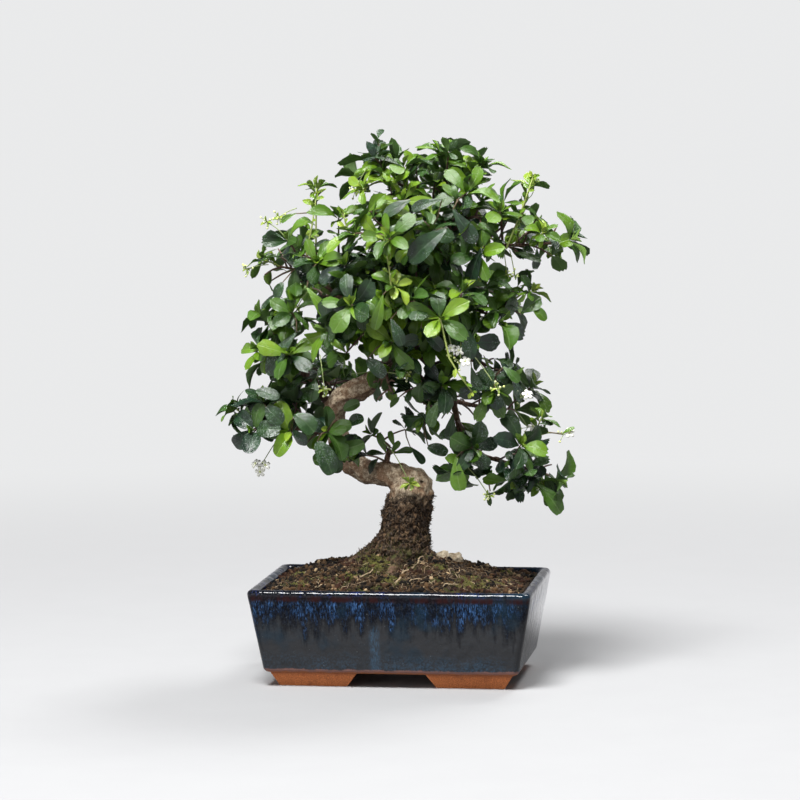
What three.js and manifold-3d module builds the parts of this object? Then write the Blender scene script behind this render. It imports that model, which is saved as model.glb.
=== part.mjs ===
// A fukien tea bonsai standing in its glazed pot. Millimetres, +Z up, +X to the right, -Y to the front.
// The origin is the middle of the pot's footprint, on the surface that the pot's feet stand on.
import * as THREE from "three";
import { mergeVertices } from "three/addons/utils/BufferGeometryUtils.js";
import Module from "manifold-3d";

const wasm = await Module();
wasm.setup();

// Clearance kept between pieces that touch
const GAP = 0.3;

// Pot: a rectangular tub that narrows downwards, fired in one piece with its four corner feet
const POT_WIDTH = 260;
const POT_DEPTH = 178;
const POT_HEIGHT = 90;
const BODY_BASE_WIDTH = 233;
const BODY_BASE_DEPTH = 151;
const BODY_BASE_Z = 13;
const RIM_WIDTH = 11;
const FLOOR_TOP_Z = 24;
const CAVITY_BASE_WIDTH = 212;
const CAVITY_BASE_DEPTH = 130;
const CORNER_RADIUS = 6;
const EDGE_ROUNDING = 1.5;
const BASE_ROUNDING = 4;
const CORNER_STEPS = 2;

// Feet: L-shaped in plan, with slanted ends and sides
const FOOT_TOP_X = [30, 112];
const FOOT_BOTTOM_X = [41, 103];
const FOOT_TOP_Y = [30, 71];
const FOOT_BOTTOM_Y = [39, 65];
const FOOT_TOP_THICKNESS = 20;
const FOOT_BOTTOM_THICKNESS = 14;
const FOOT_ROOT_Z = 15;

// Drain holes and the plastic screens that lie over them
const DRAIN_X = 55;
const DRAIN_RADIUS = 9;
const DRAIN_SIDES = 10;
const SCREEN_SIDE = 34;
const SCREEN_THICKNESS = 1;
const SCREEN_HOLE = 11;
const SCREEN_PITCH = 7.5;

// Soil: fills the tub and rises in a mound to the trunk
const SOIL_EDGE_Z = 86;
const SOIL_RISE = 35;
const SOIL_SLOPE_POWER = 1.15;
const SOIL_ROUGHNESS = 1.4;
const SOIL_RINGS = [0.96, 0.8, 0.62, 0.44, 0.28];

// Pebbles half sunk in the soil beside the trunk
const PEBBLES = [
  { name: "pebble_left", at: [38, 6, 110], radii: [6.5, 5.5, 5] },
  { name: "pebble_right", at: [49, 13, 107], radii: [7.5, 6, 6] },
];

// Lower trunk, from inside the soil up to the blunt knuckle of the elbow: x, y, z and radius
const LOWER_TRUNK = [
  [2, 0, 82, 29],
  [1, 0, 106, 28],
  [2, 0, 118, 26],
  [4, 0, 129, 24],
  [4, 0, 139, 22],
  [5, 0, 148, 23.5],
  [8, 0, 160, 22],
  [10, 0, 173, 21.5],
  [13, 0, 184, 17],
  [13, 0, 192, 9],
];
const LOWER_TRUNK_SIDES = 11;

// Upper trunk: left from the elbow, round in a bow and up to the apex
const UPPER_TRUNK = [
  [12, 0, 178, 14.5],
  [-2, 0, 185, 13.5],
  [-16, 1, 187, 12.5],
  [-31, 3, 188, 12.5],
  [-45, 5, 196, 13],
  [-54, 6, 210, 12.5],
  [-61, 6, 227, 11.5],
  [-63, 4, 243, 11.5],
  [-55, 0, 256, 12],
  [-38, -4, 265, 12],
  [-18, -6, 278, 10],
  [-2, -5, 296, 8.5],
  [12, -2, 315, 7.5],
  [27, 2, 340, 6.5],
  [38, 5, 365, 5.5],
  [44, 5, 393, 4.8],
  [45, 3, 425, 3.6],
];
const UPPER_TRUNK_SIDES = 8;

// Surface roots that flare from the trunk's foot and run down into the soil
const ROOTS = [
  [[-8, -2, 128, 13], [-28, -4, 113, 9], [-48, -6, 103, 5], [-66, -8, 92, 2.5]],
  [[12, -2, 122, 12], [27, -10, 110, 7.5], [42, -22, 100, 4], [54, -34, 90, 2.5]],
  [[4, -8, 120, 11], [0, -28, 106, 7], [-8, -46, 95, 3.5], [-16, -60, 86, 2]],
  [[0, 10, 120, 11], [-8, 28, 106, 7], [-18, 46, 95, 4], [-28, 60, 86, 2.5]],
];
const ROOT_SIDES = 6;

// Branches: each path starts inside the wood that it grows from, with its radius there and at its end
const BRANCHES = {
  left_low: { path: [[-60, 5, 222], [-90, 0, 229], [-118, -5, 232], [-138, -9, 236]], radii: [5.5, 1.9] },
  left_mid: { path: [[-62, 4, 244], [-80, 0, 268], [-100, -4, 292], [-116, -7, 318]], radii: [4.5, 1.7] },
  left_high: {
    path: [[-2, -5, 296], [-26, -10, 324], [-54, -12, 352], [-84, -8, 374], [-110, -3, 378]],
    radii: [4.5, 1.6],
  },
  front_low: { path: [[12, -2, 315], [2, -26, 328], [-12, -50, 340], [-22, -70, 347]], radii: [3.8, 1.7] },
  front_high: { path: [[40, 5, 370], [30, -20, 386], [18, -46, 398], [8, -66, 404]], radii: [3.4, 1.6] },
  front_right: { path: [[24, 1, 335], [36, -22, 334], [44, -44, 335], [48, -62, 336]], radii: [3.2, 1.6] },
  right_low: {
    path: [
      [8, -3, 308],
      [32, -6, 286],
      [50, -8, 256],
      [57, -8, 224],
      [78, -8, 205],
      [108, -10, 197],
      [130, -11, 191],
    ],
    radii: [5, 1.8],
  },
  right_fork: { path: [[30, -6, 288], [56, -14, 296], [78, -20, 292], [90, -23, 286]], radii: [2.8, 1.5] },
  right_mid: { path: [[30, 3, 347], [52, 0, 341], [76, -3, 338], [102, -5, 345]], radii: [3.5, 1.5] },
  right_high: {
    path: [[43, 5, 388], [66, 2, 396], [96, -2, 397], [126, -5, 398], [142, -7, 400]],
    radii: [3.7, 1.5],
  },
  back_left: { path: [[-62, 4, 244], [-68, 28, 258], [-78, 52, 268], [-86, 72, 274]], radii: [4.2, 1.7] },
  back_right: { path: [[26, 2, 340], [36, 26, 346], [48, 50, 348], [58, 74, 350]], radii: [3.6, 1.6] },
  back_high: { path: [[42, 5, 378], [28, 28, 392], [10, 50, 400], [-4, 70, 404]], radii: [3.4, 1.6] },
  back_low: { path: [[50, -8, 256], [62, 14, 250], [76, 36, 246], [88, 56, 240]], radii: [3.2, 1.6] },
  back_bow: { path: [[-24, -9, 322], [-44, 16, 336], [-66, 42, 344], [-84, 64, 348]], radii: [3.2, 1.6] },
  apex_left: { path: [[45, 3, 427], [22, -3, 443], [0, -8, 455], [-14, -12, 462]], radii: [2.8, 1.5] },
  apex_right: { path: [[45, 2, 435], [58, 0, 446], [68, -1, 454]], radii: [2.5, 1.5] },
  apex_back: { path: [[45, 3, 420], [40, 22, 438], [34, 40, 448]], radii: [2.6, 1.5] },
  apex: { path: [[45, 3, 418], [45, 1, 440], [44, 0, 466]], radii: [3.3, 1.9] },
  elbow: { path: [[-14, 2, 190], [-12, -1, 203], [-10, -3, 211]], radii: [4.2, 2.6] },
};
const BRANCH_SIDES = 5;

// Leafy sprays: the branch that carries each one, how far along it, and the tips of its shoots.
// The first tip ends the spray's main twig, and the others end side shoots of that twig.
const SPRAYS = {
  leaves_left_low_1: { on: "left_low", at: 0.7, tips: [[-128, -42, 231], [-122, -26, 254]] },
  leaves_left_low_2: { on: "left_low", at: 0.42, tips: [[-94, -45, 230], [-92, -22, 256]] },
  leaves_left_low_3: { on: "left_low", at: 0.16, tips: [[-60, -44, 231], [-52, -35, 212]] },
  leaves_left_low_4: { on: "left_low", at: 0.55, tips: [[-124, 36, 250], [-98, 44, 232]] },
  leaves_left_mid_1: { on: "left_mid", at: 1, tips: [[-126, -8, 333], [-92, -40, 338]] },
  leaves_left_mid_2: { on: "left_mid", at: 0.6, tips: [[-124, -30, 303], [-94, -45, 300]] },
  leaves_left_mid_3: { on: "left_mid", at: 0.5, tips: [[-112, 42, 312], [-130, 26, 290]] },
  leaves_left_high_1: { on: "left_high", at: 0.78, tips: [[-98, -26, 403], [-68, -46, 384]] },
  leaves_left_high_2: { on: "left_high", at: 0.5, tips: [[-50, -32, 424], [-40, -58, 382]] },
  leaves_left_high_3: { on: "left_high", at: 0.7, tips: [[-98, 42, 396]] },
  leaves_front_1: { on: "front_low", at: 1, tips: [[-28, -97, 349], [-52, -84, 326]] },
  leaves_front_2: { on: "front_low", at: 0.5, tips: [[-40, -60, 303], [4, -70, 314]] },
  leaves_front_3: { on: "front_high", at: 1, tips: [[6, -95, 408], [-28, -75, 412]] },
  leaves_front_4: { on: "front_high", at: 0.55, tips: [[38, -64, 412], [52, -50, 388]] },
  leaves_front_5: { on: "front_right", at: 1, tips: [[50, -88, 337], [24, -82, 352]] },
  leaves_front_6: { on: "front_right", at: 0.6, tips: [[72, -56, 314], [66, -60, 358]] },
  leaves_right_low_1: { on: "right_low", at: 1, tips: [[145, -12, 184]] },
  leaves_right_low_2: { on: "right_low", at: 0.82, tips: [[115, -36, 218], [106, -30, 186]] },
  leaves_right_low_3: { on: "right_low", at: 0.5, tips: [[72, -40, 216], [58, -30, 194]] },
  leaves_right_low_4: { on: "right_low", at: 0.3, tips: [[46, -46, 274], [28, -34, 244]] },
  leaves_right_fork: { on: "right_fork", at: 1, tips: [[104, -25, 283], [88, -50, 264]] },
  leaves_right_mid: { on: "right_mid", at: 0.6, tips: [[94, -27, 329], [84, -34, 362]] },
  leaves_right_high_1: { on: "right_high", at: 1, tips: [[158, -9, 402]] },
  leaves_right_high_2: { on: "right_high", at: 0.5, tips: [[98, -36, 429], [80, -44, 392]] },
  leaves_right_high_3: { on: "right_high", at: 0.62, tips: [[108, 44, 412], [134, 28, 396]] },
  leaves_apex_1: { on: "apex_left", at: 1, tips: [[-22, -15, 476], [-38, 4, 460]] },
  leaves_apex_2: { on: "apex_left", at: 0.45, tips: [[12, -48, 440], [10, -30, 470]] },
  leaves_apex_3: { on: "apex", at: 1, tips: [[38, 0, 483]] },
  leaves_apex_4: { on: "apex_right", at: 1, tips: [[77, 0, 468], [68, -42, 446]] },
  leaves_apex_5: { on: "apex_back", at: 1, tips: [[14, 66, 462], [46, 64, 454]] },
  leaves_back_1: { on: "back_left", at: 1, tips: [[-92, 98, 282], [-122, 76, 262]] },
  leaves_back_2: { on: "back_left", at: 0.55, tips: [[-48, 76, 264]] },
  leaves_back_3: { on: "back_right", at: 1, tips: [[62, 100, 356], [94, 84, 338]] },
  leaves_back_4: { on: "back_right", at: 0.6, tips: [[34, 80, 320]] },
  leaves_back_5: { on: "back_high", at: 1, tips: [[-10, 98, 408], [-44, 80, 420]] },
  leaves_back_6: { on: "back_high", at: 0.55, tips: [[52, 74, 412]] },
  leaves_back_7: { on: "back_low", at: 1, tips: [[96, 84, 238], [114, 56, 262]] },
  leaves_back_8: { on: "back_bow", at: 1, tips: [[-92, 90, 354], [-62, 96, 334]] },
  leaves_elbow: { on: "elbow", at: 1, tips: [[-24, -12, 224], [6, -8, 229]], size: 0.75 },
  shoot_left_low: { on: "left_low", at: 1, tips: [[-150, -15, 247]], young: true },
  shoot_left_high: { on: "left_high", at: 1, tips: [[-126, 0, 383]], young: true },
  shoot_left_tall: { on: "left_high", at: 0.68, tips: [[-74, -10, 450]], young: true },
  shoot_front: { on: "front_low", at: 0.8, tips: [[10, -92, 366]], young: true },
  shoot_apex: { on: "apex_left", at: 0.75, tips: [[-26, -40, 450]], young: true },
  shoot_right_tall: { on: "right_high", at: 0.6, tips: [[123, -14, 452]], young: true },
  shoot_right_high: { on: "right_high", at: 0.82, tips: [[136, -36, 410]], young: true },
  shoot_right_mid: { on: "right_mid", at: 1, tips: [[122, -8, 356]], young: true },
  shoot_right_low: { on: "right_low", at: 0.9, tips: [[130, 0, 239]], young: true },
};
const TWIG_RADII = [1.5, 0.8];
const SHOOT_RADII = [1.1, 0.7];
const TWIG_STEPS = 2;
const SHOOT_STEPS = 1;
const SHOOT_FORK = 0.4;
const TWIG_FOOT_LENGTH = 2;
const TWIG_FOOT_SIDES = 6;
const SEAT_STEP = 0.15;
const CROWN_MIDDLE = new THREE.Vector3(10, 0, 320);

// Leaves: spoon-shaped blades in rosettes round the end of each shoot
const LEAF_LENGTH = 26;
const YOUNG_LEAF_LENGTH = 18;
const BLADE_THICKNESS = 0.7;
const HUB_THICKNESS = 1.4;
const HUB_INNER_RADIUS = 1.4;
const ROUND_TIP = [0.88, 0.36];
const TOOTHED_TIP = [0.81, 0.25];
const TOOTHED_SHARE = 0.45;
// Ways to bend a leaf clear of its neighbours, tried in turn: turn upwards in degrees, and length
const BENDS = [[0, 1], [14, 1], [-14, 1], [28, 1], [-28, 1], [0, 0.75], [20, 0.75], [-20, 0.75], [0, 0.55]];
const PROBE_THICKNESS = 1.7;
const PROBE_GROWTH = 1.06;
const LEAF_CORNERS = 5;
const ROSETTE_LEAVES = 5;

// Flower heads on thin stalks: the spray that carries each one, and where its head is
const FLOWERS = {
  flowers_left_low: { on: "leaves_left_low_2", at: 0.5, head: [-124, -38, 197], open: 2, buds: 1 },
  flowers_left_high: { on: "leaves_left_high_1", at: 0.7, head: [-118, -22, 420], open: 0, buds: 3 },
  flowers_elbow: { on: "leaves_elbow", at: 0.55, head: [13, -30, 182], open: 0, buds: 3 },
  flowers_front_right: { on: "leaves_front_6", at: 0.7, head: [68, -88, 298], open: 1, buds: 2 },
  flowers_right_low: { on: "shoot_right_low", at: 0.5, head: [152, -14, 226], open: 1, buds: 2 },
};
const STALK_RADIUS = 0.55;
const STALK_SIDES = 3;
const HEAD_RADIUS = 1.5;
const HEAD_SPREAD = 6;
const FLORET_RADIUS = 4.2;
const FLORET_THICKNESS = 0.8;
const PETALS = 5;
// A bud on its stalklet: radii from the head outwards
const BUD_PROFILE = [0.55, 0.55, 1.4, 0.5];

// Colours of the pieces
const finish = (color, roughness) => new THREE.MeshStandardMaterial({ color, roughness, metalness: 0 });
const GLAZE = finish(0x101d3a, 0.12);
const SOIL = finish(0x33241a, 0.95);
const BARK = finish(0x6b5a4a, 0.85);
const PLASTIC = finish(0x15171a, 0.5);
const STONE = finish(0xc9b9a0, 0.8);
const LEAF = finish(0x1f4a2c, 0.4);
const YOUNG_LEAF = finish(0x6f9e1f, 0.4);
const FLOWER = finish(0xdfe3b0, 0.6);

// A repeatable series of draws between 0 and 1
function makeDraw(seed) {
  let state = seed;
  return () => {
    state = (state * 16807) % 2147483647;
    return state / 2147483647;
  };
}

const vector = (at) => new THREE.Vector3(at[0], at[1], at[2]);

// A closed geometry as a solid that can be joined and cut
function toSolid(geometry) {
  const bare = geometry.clone();
  bare.deleteAttribute("normal");
  bare.deleteAttribute("uv");
  const merged = mergeVertices(bare, 1e-4);
  const vertProperties = merged.attributes.position.array;
  const triVerts = new Uint32Array(merged.index.array);
  return new wasm.Manifold(new wasm.Mesh({ numProp: 3, vertProperties, triVerts }));
}

// A solid as a geometry for a mesh
function toGeometry(solid) {
  const mesh = solid.getMesh();
  const geometry = new THREE.BufferGeometry();
  geometry.setAttribute("position", new THREE.BufferAttribute(mesh.vertProperties, 3));
  geometry.setIndex(new THREE.BufferAttribute(mesh.triVerts, 1));
  geometry.computeVertexNormals();
  return geometry;
}

function joinAll(solids) {
  return solids.reduce((whole, solid) => whole.add(solid));
}

function meshOf(name, solid, material) {
  const mesh = new THREE.Mesh(toGeometry(solid), material);
  mesh.name = name;
  return mesh;
}

// A geometry from corner points and triangles of their indices
function faceted(points, triangles) {
  const geometry = new THREE.BufferGeometry();
  geometry.setAttribute("position", new THREE.Float32BufferAttribute(points.flatMap((p) => p.toArray()), 3));
  geometry.setIndex(triangles);
  return geometry;
}

// The triangles between rings of equally many points, which turn anticlockwise seen from the last one
function skinTriangles(ringCount, count) {
  const triangles = [];
  for (let ring = 0; ring < ringCount - 1; ring++) {
    for (let i = 0; i < count; i++) {
      const a = ring * count + i;
      const b = ring * count + ((i + 1) % count);
      triangles.push(a, b, b + count, a, b + count, a + count);
    }
  }
  return triangles;
}

// The triangles that close the first ring and the last
function capTriangles(count, last) {
  const triangles = [];
  for (let i = 1; i < count - 1; i++) triangles.push(0, i + 1, i, last, last + i, last + i + 1);
  return triangles;
}

// A closed skin over a row of rings
function loft(rings) {
  const count = rings[0].length;
  const last = (rings.length - 1) * count;
  return faceted(rings.flat(), [...skinTriangles(rings.length, count), ...capTriangles(count, last)]);
}

// A ring round a point, square to a direction
function ringAt(middle, along, radius, sides, turn) {
  const across = new THREE.Vector3(0, -1, 0.2).cross(along).normalize();
  const over = along.clone().cross(across).normalize();
  const ring = [];
  for (let i = 0; i < sides; i++) {
    const angle = turn + (i / sides) * Math.PI * 2;
    const point = middle.clone();
    point.addScaledVector(across, radius * Math.cos(angle));
    ring.push(point.addScaledVector(over, radius * Math.sin(angle)));
  }
  return ring;
}

// The smooth curve through points
function curveThrough(points) {
  return new THREE.CatmullRomCurve3(points, false, "catmullrom", 0.5);
}

// A round stem along a curve, with its radius given at each of its steps
function stem(curve, steps, radiusAt, sides) {
  const rings = [];
  for (let step = 0; step <= steps; step++) {
    const t = step / steps;
    rings.push(ringAt(curve.getPoint(t), curve.getTangent(t), radiusAt(t), sides, step * 0.5));
  }
  return toSolid(loft(rings));
}

// A stem through stations of x, y, z and radius, grown all round and at its ends
function gnarledStem(stations, sides, grow) {
  const points = stations.map(vector);
  const last = stations.length - 1;
  const start = points[0].clone().sub(points[1]).setLength(grow);
  const end = points[last].clone().sub(points[last - 1]).setLength(grow);
  points[0].add(start);
  points[last].add(end);
  const curve = curveThrough(points);
  const radiusAt = (t) => stations[Math.round(t * last)][3] + grow;
  return stem(curve, last, radiusAt, sides);
}

// A pebble, or the hollow it lies in
function pebbleSolid({ at, radii }, grow) {
  const geometry = new THREE.OctahedronGeometry(1, 1);
  geometry.scale(radii[0] + grow, radii[1] + grow, radii[2] + grow);
  geometry.translate(at[0], at[1], at[2]);
  return toSolid(geometry);
}

const branchCurve = (name) => curveThrough(BRANCHES[name].path.map(vector));

// All the wood that grew as one: roots, trunk and branches
function makeWood(grow) {
  const pieces = [
    gnarledStem(LOWER_TRUNK, LOWER_TRUNK_SIDES, grow),
    gnarledStem(UPPER_TRUNK, UPPER_TRUNK_SIDES, grow),
  ];
  for (const root of ROOTS) pieces.push(gnarledStem(root, ROOT_SIDES, grow));
  for (const [name, { path, radii }] of Object.entries(BRANCHES)) {
    const radiusAt = (t) => radii[0] + (radii[1] - radii[0]) * t + grow;
    pieces.push(stem(branchCurve(name), path.length - 1, radiusAt, BRANCH_SIDES));
  }
  return joinAll(pieces);
}

// The outline of a rectangle with rounded corners at one height, anticlockwise from above
function roundedRing(width, depth, z, radius) {
  const ring = [];
  for (let corner = 0; corner < 4; corner++) {
    const x = (width / 2 - radius) * (corner === 0 || corner === 3 ? 1 : -1);
    const y = (depth / 2 - radius) * (corner < 2 ? 1 : -1);
    for (let step = 0; step <= CORNER_STEPS; step++) {
      const angle = ((corner + step / CORNER_STEPS) * Math.PI) / 2;
      ring.push(new THREE.Vector3(x + radius * Math.cos(angle), y + radius * Math.sin(angle), z));
    }
  }
  return ring;
}

// The pot's tub: up its outside, over the rim and down its inside
function makeTub() {
  const rimOutside = [POT_WIDTH - 2 * EDGE_ROUNDING, POT_DEPTH - 2 * EDGE_ROUNDING];
  const rimInside = [POT_WIDTH - 2 * RIM_WIDTH, POT_DEPTH - 2 * RIM_WIDTH];
  const base = [BODY_BASE_WIDTH - 2 * BASE_ROUNDING, BODY_BASE_DEPTH - 2 * BASE_ROUNDING];
  const inside = CORNER_RADIUS - 2;
  return toSolid(
    loft([
      roundedRing(base[0], base[1], BODY_BASE_Z, CORNER_RADIUS),
      roundedRing(BODY_BASE_WIDTH, BODY_BASE_DEPTH, BODY_BASE_Z + BASE_ROUNDING, CORNER_RADIUS),
      roundedRing(POT_WIDTH, POT_DEPTH, POT_HEIGHT - EDGE_ROUNDING, CORNER_RADIUS),
      roundedRing(rimOutside[0], rimOutside[1], POT_HEIGHT, CORNER_RADIUS),
      roundedRing(rimInside[0] + EDGE_ROUNDING, rimInside[1] + EDGE_ROUNDING, POT_HEIGHT, inside),
      roundedRing(rimInside[0], rimInside[1], POT_HEIGHT - EDGE_ROUNDING, inside),
      roundedRing(CAVITY_BASE_WIDTH, CAVITY_BASE_DEPTH, FLOOR_TOP_Z, inside),
    ]),
  );
}

// A block that narrows downwards between two rectangles
function taperedBlock(bottomX, bottomY, topX, topY) {
  const rectangle = (x, y, z) => [
    new THREE.Vector3(x[0], y[0], z),
    new THREE.Vector3(x[1], y[0], z),
    new THREE.Vector3(x[1], y[1], z),
    new THREE.Vector3(x[0], y[1], z),
  ];
  return toSolid(loft([rectangle(bottomX, bottomY, 0), rectangle(topX, topY, FOOT_ROOT_Z)]));
}

// One corner foot: a leg along the front or back, and a leg along the side
function makeFoot(sideX, sideY) {
  const spread = (range, side) => range.map((value) => value * side).sort((a, b) => a - b);
  const outerStrip = (range, thickness) => [range[1] - thickness, range[1]];
  const longLeg = taperedBlock(
    spread(FOOT_BOTTOM_X, sideX),
    spread(outerStrip(FOOT_BOTTOM_Y, FOOT_BOTTOM_THICKNESS), sideY),
    spread(FOOT_TOP_X, sideX),
    spread(outerStrip(FOOT_TOP_Y, FOOT_TOP_THICKNESS), sideY),
  );
  const sideLeg = taperedBlock(
    spread(outerStrip(FOOT_BOTTOM_X, FOOT_BOTTOM_THICKNESS), sideX),
    spread(FOOT_BOTTOM_Y, sideY),
    spread(outerStrip(FOOT_TOP_X, FOOT_TOP_THICKNESS), sideX),
    spread(FOOT_TOP_Y, sideY),
  );
  return longLeg.add(sideLeg);
}

function drainHole(x) {
  const geometry = new THREE.CylinderGeometry(DRAIN_RADIUS, DRAIN_RADIUS, 4 * FLOOR_TOP_Z, DRAIN_SIDES);
  geometry.rotateX(Math.PI / 2);
  geometry.translate(x, 0, 0);
  return toSolid(geometry);
}

function makePot() {
  const feet = [-1, 1].flatMap((sideX) => [-1, 1].map((sideY) => makeFoot(sideX, sideY)));
  const pot = joinAll([makeTub(), ...feet]);
  return pot.subtract(drainHole(-DRAIN_X)).subtract(drainHole(DRAIN_X));
}

function block(width, depth, height, at) {
  const geometry = new THREE.BoxGeometry(width, depth, height);
  geometry.translate(at[0], at[1], at[2]);
  return toSolid(geometry);
}

// A square plate pierced with four square holes
function makeScreen(x) {
  const z = FLOOR_TOP_Z + GAP + SCREEN_THICKNESS / 2;
  let screen = block(SCREEN_SIDE, SCREEN_SIDE, SCREEN_THICKNESS, [x, 0, z]);
  for (const i of [-1, 1]) {
    for (const j of [-1, 1]) {
      const hole = [x + i * SCREEN_PITCH, j * SCREEN_PITCH, z];
      screen = screen.subtract(block(SCREEN_HOLE, SCREEN_HOLE, 4 * SCREEN_THICKNESS, hole));
    }
  }
  return screen;
}

// The soil's body inside the tub, and its mound with a lumpy surface
function makeSoilBody() {
  const draw = makeDraw(4711);
  const bottom = FLOOR_TOP_Z + SCREEN_THICKNESS + 2 * GAP;
  const rise = (SOIL_EDGE_Z - bottom) / (POT_HEIGHT - EDGE_ROUNDING - FLOOR_TOP_Z);
  const topWidth = CAVITY_BASE_WIDTH + (POT_WIDTH - 2 * RIM_WIDTH - CAVITY_BASE_WIDTH) * rise;
  const topDepth = CAVITY_BASE_DEPTH + (POT_DEPTH - 2 * RIM_WIDTH - CAVITY_BASE_DEPTH) * rise;
  const clear = 2 * GAP;
  const rings = [
    roundedRing(CAVITY_BASE_WIDTH - clear, CAVITY_BASE_DEPTH - clear, bottom, CORNER_RADIUS),
    roundedRing(topWidth - clear, topDepth - clear, SOIL_EDGE_Z, CORNER_RADIUS),
  ];
  for (const share of SOIL_RINGS) {
    const height = SOIL_EDGE_Z + SOIL_RISE * Math.pow(1 - share, SOIL_SLOPE_POWER);
    const width = (topWidth - clear) * share;
    const depth = (topDepth - clear) * share;
    const corner = CORNER_RADIUS + (depth / 2 - CORNER_RADIUS) * (1 - share);
    const ring = roundedRing(width, depth, height, corner);
    for (const point of ring) point.z += SOIL_ROUGHNESS * (draw() - 0.5);
    rings.push(ring);
  }
  return toSolid(loft(rings));
}

// The soil with the plain hole that the trunk stands in, and hollows under the pebbles
function makeSoil() {
  let soil = makeSoilBody().subtract(makeWood(GAP));
  for (const pebble of PEBBLES) soil = soil.subtract(pebbleSolid(pebble, GAP));
  const parts = soil.decompose().sort((a, b) => b.volume() - a.volume());
  return parts[0];
}

// Where a stem that leaves a thicker one starts, clear of its bark
function seatOnSide(middle, along, thickRadius, thinRadius, towards) {
  const out = towards.clone().sub(middle).normalize();
  const cosine = Math.abs(out.dot(along));
  const sine = Math.max(0.35, Math.sqrt(1 - cosine * cosine));
  return middle.clone().addScaledVector(out, (thickRadius + GAP + thinRadius * cosine) / sine);
}

// A twig's foot with the clearance round it, at a distance from the middle of the wood that carries it
function twigFoot(middle, out, reach) {
  const start = middle.clone().addScaledVector(out, reach - GAP);
  const end = middle.clone().addScaledVector(out, reach + TWIG_FOOT_LENGTH);
  return stem(new THREE.LineCurve3(start, end), 1, () => TWIG_RADII[0] + GAP, TWIG_FOOT_SIDES);
}

// Where a twig starts: as near to the middle of its carrier as its foot is clear of the bark
function seatOnBark(wood, middle, towards) {
  const out = towards.clone().sub(middle).normalize();
  let reach = 0;
  while (!twigFoot(middle, out, reach).intersect(wood).isEmpty()) reach += SEAT_STEP;
  return middle.clone().addScaledVector(out, reach);
}

// Where a stem that carries on from a thicker one's end starts
function seatOnEnd(end, along, thinRadius, towards) {
  const out = towards.clone().sub(end).normalize();
  const sine = Math.sqrt(Math.max(0, 1 - out.dot(along) ** 2));
  return end.clone().addScaledVector(along, GAP + 0.05 + thinRadius * sine);
}

// The middle of a branch at a share of the way along it
function branchMiddle(path, at) {
  const place = at * (path.length - 1);
  const index = Math.min(Math.floor(place), path.length - 2);
  return vector(path[index]).lerp(vector(path[index + 1]), place - index);
}

// The main twig of a spray, and its side shoots
function twigCurves(row, wood) {
  const tip = vector(row.tips[0]);
  const middle = branchMiddle(BRANCHES[row.on].path, row.at);
  const seat =
    row.at === 1
      ? seatOnEnd(middle, branchCurve(row.on).getTangent(1), TWIG_RADII[0], tip)
      : seatOnBark(wood, middle, tip);
  const bow = new THREE.Vector3(0, 0, 0.08 * seat.distanceTo(tip));
  const main = curveThrough([seat, seat.clone().lerp(tip, 0.5).add(bow), tip]);
  const shoots = row.tips.slice(1).map((at) => {
    const fork = main.getPoint(SHOOT_FORK);
    const end = vector(at);
    const lift = new THREE.Vector3(0, 0, 0.06 * fork.distanceTo(end));
    return curveThrough([fork, fork.clone().lerp(end, 0.5).add(lift), end]);
  });
  return [main, ...shoots];
}

// The way a rosette faces: on from its shoot, up to the light and out from the crown
function rosetteAxis(curve) {
  const out = curve.getPoint(1).sub(CROWN_MIDDLE).normalize();
  const axis = curve.getTangent(1).multiplyScalar(0.6).addScaledVector(out, 0.3);
  return axis.add(new THREE.Vector3(0, 0, 0.45)).normalize();
}

// One rosette's measures, all drawn in a fixed order
function drawRosette(draw, curve, length) {
  const spin = draw() * Math.PI * 2;
  const leaves = [];
  for (let i = 0; i < ROSETTE_LEAVES; i++) {
    const leaf = {};
    leaf.length = length * (0.8 + 0.4 * draw());
    leaf.width = leaf.length * (0.42 + 0.12 * draw());
    leaf.lift = 4 + 34 * draw();
    leaf.twist = (draw() - 0.5) * 30;
    leaf.arch = 0.05 + 0.12 * draw();
    leaf.tip = draw() < TOOTHED_SHARE ? TOOTHED_TIP : ROUND_TIP;
    leaves.push(leaf);
  }
  const bends = leaves.map(() => null);
  return { curve, middle: curve.getPoint(1), axis: rosetteAxis(curve), spin, leaves, bends };
}

// The hub's corners, upper or lower, anticlockwise round its axis
function hubCorners(rosette, height) {
  const radius = HUB_INNER_RADIUS / Math.cos(Math.PI / ROSETTE_LEAVES);
  const corners = [];
  for (let i = 0; i < ROSETTE_LEAVES; i++) {
    const radial = radialAt(rosette, i - 0.5);
    const corner = rosette.middle.clone().addScaledVector(radial, radius);
    corners.push(corner.addScaledVector(rosette.axis, height));
  }
  return corners;
}

// The direction out of the hub at a share of a turn counted in leaves
function radialAt(rosette, place) {
  const first = new THREE.Vector3(0.3, 1, 0.1).cross(rosette.axis).normalize();
  const second = rosette.axis.clone().cross(first);
  const angle = rosette.spin + (place * Math.PI * 2) / ROSETTE_LEAVES;
  return first.multiplyScalar(Math.cos(angle)).addScaledVector(second, Math.sin(angle));
}

// A leaf's own directions and the middle of its foot on the hub
function leafFrame(rosette, place, bend) {
  const leaf = rosette.leaves[place];
  const radial = radialAt(rosette, place);
  const side = rosette.axis.clone().cross(radial);
  const lift = THREE.MathUtils.degToRad(leaf.lift + bend[0]);
  const twist = THREE.MathUtils.degToRad(leaf.twist);
  const along = radial.clone().multiplyScalar(Math.cos(lift)).addScaledVector(rosette.axis, Math.sin(lift));
  const up = along.clone().cross(side);
  const across = side.clone().multiplyScalar(Math.cos(twist)).addScaledVector(up, Math.sin(twist));
  const normal = along.clone().cross(across);
  const foot = rosette.middle.clone().addScaledVector(radial, HUB_INNER_RADIUS);
  return { foot, along, across, normal, length: leaf.length * bend[1], width: leaf.width * bend[1] };
}

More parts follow.
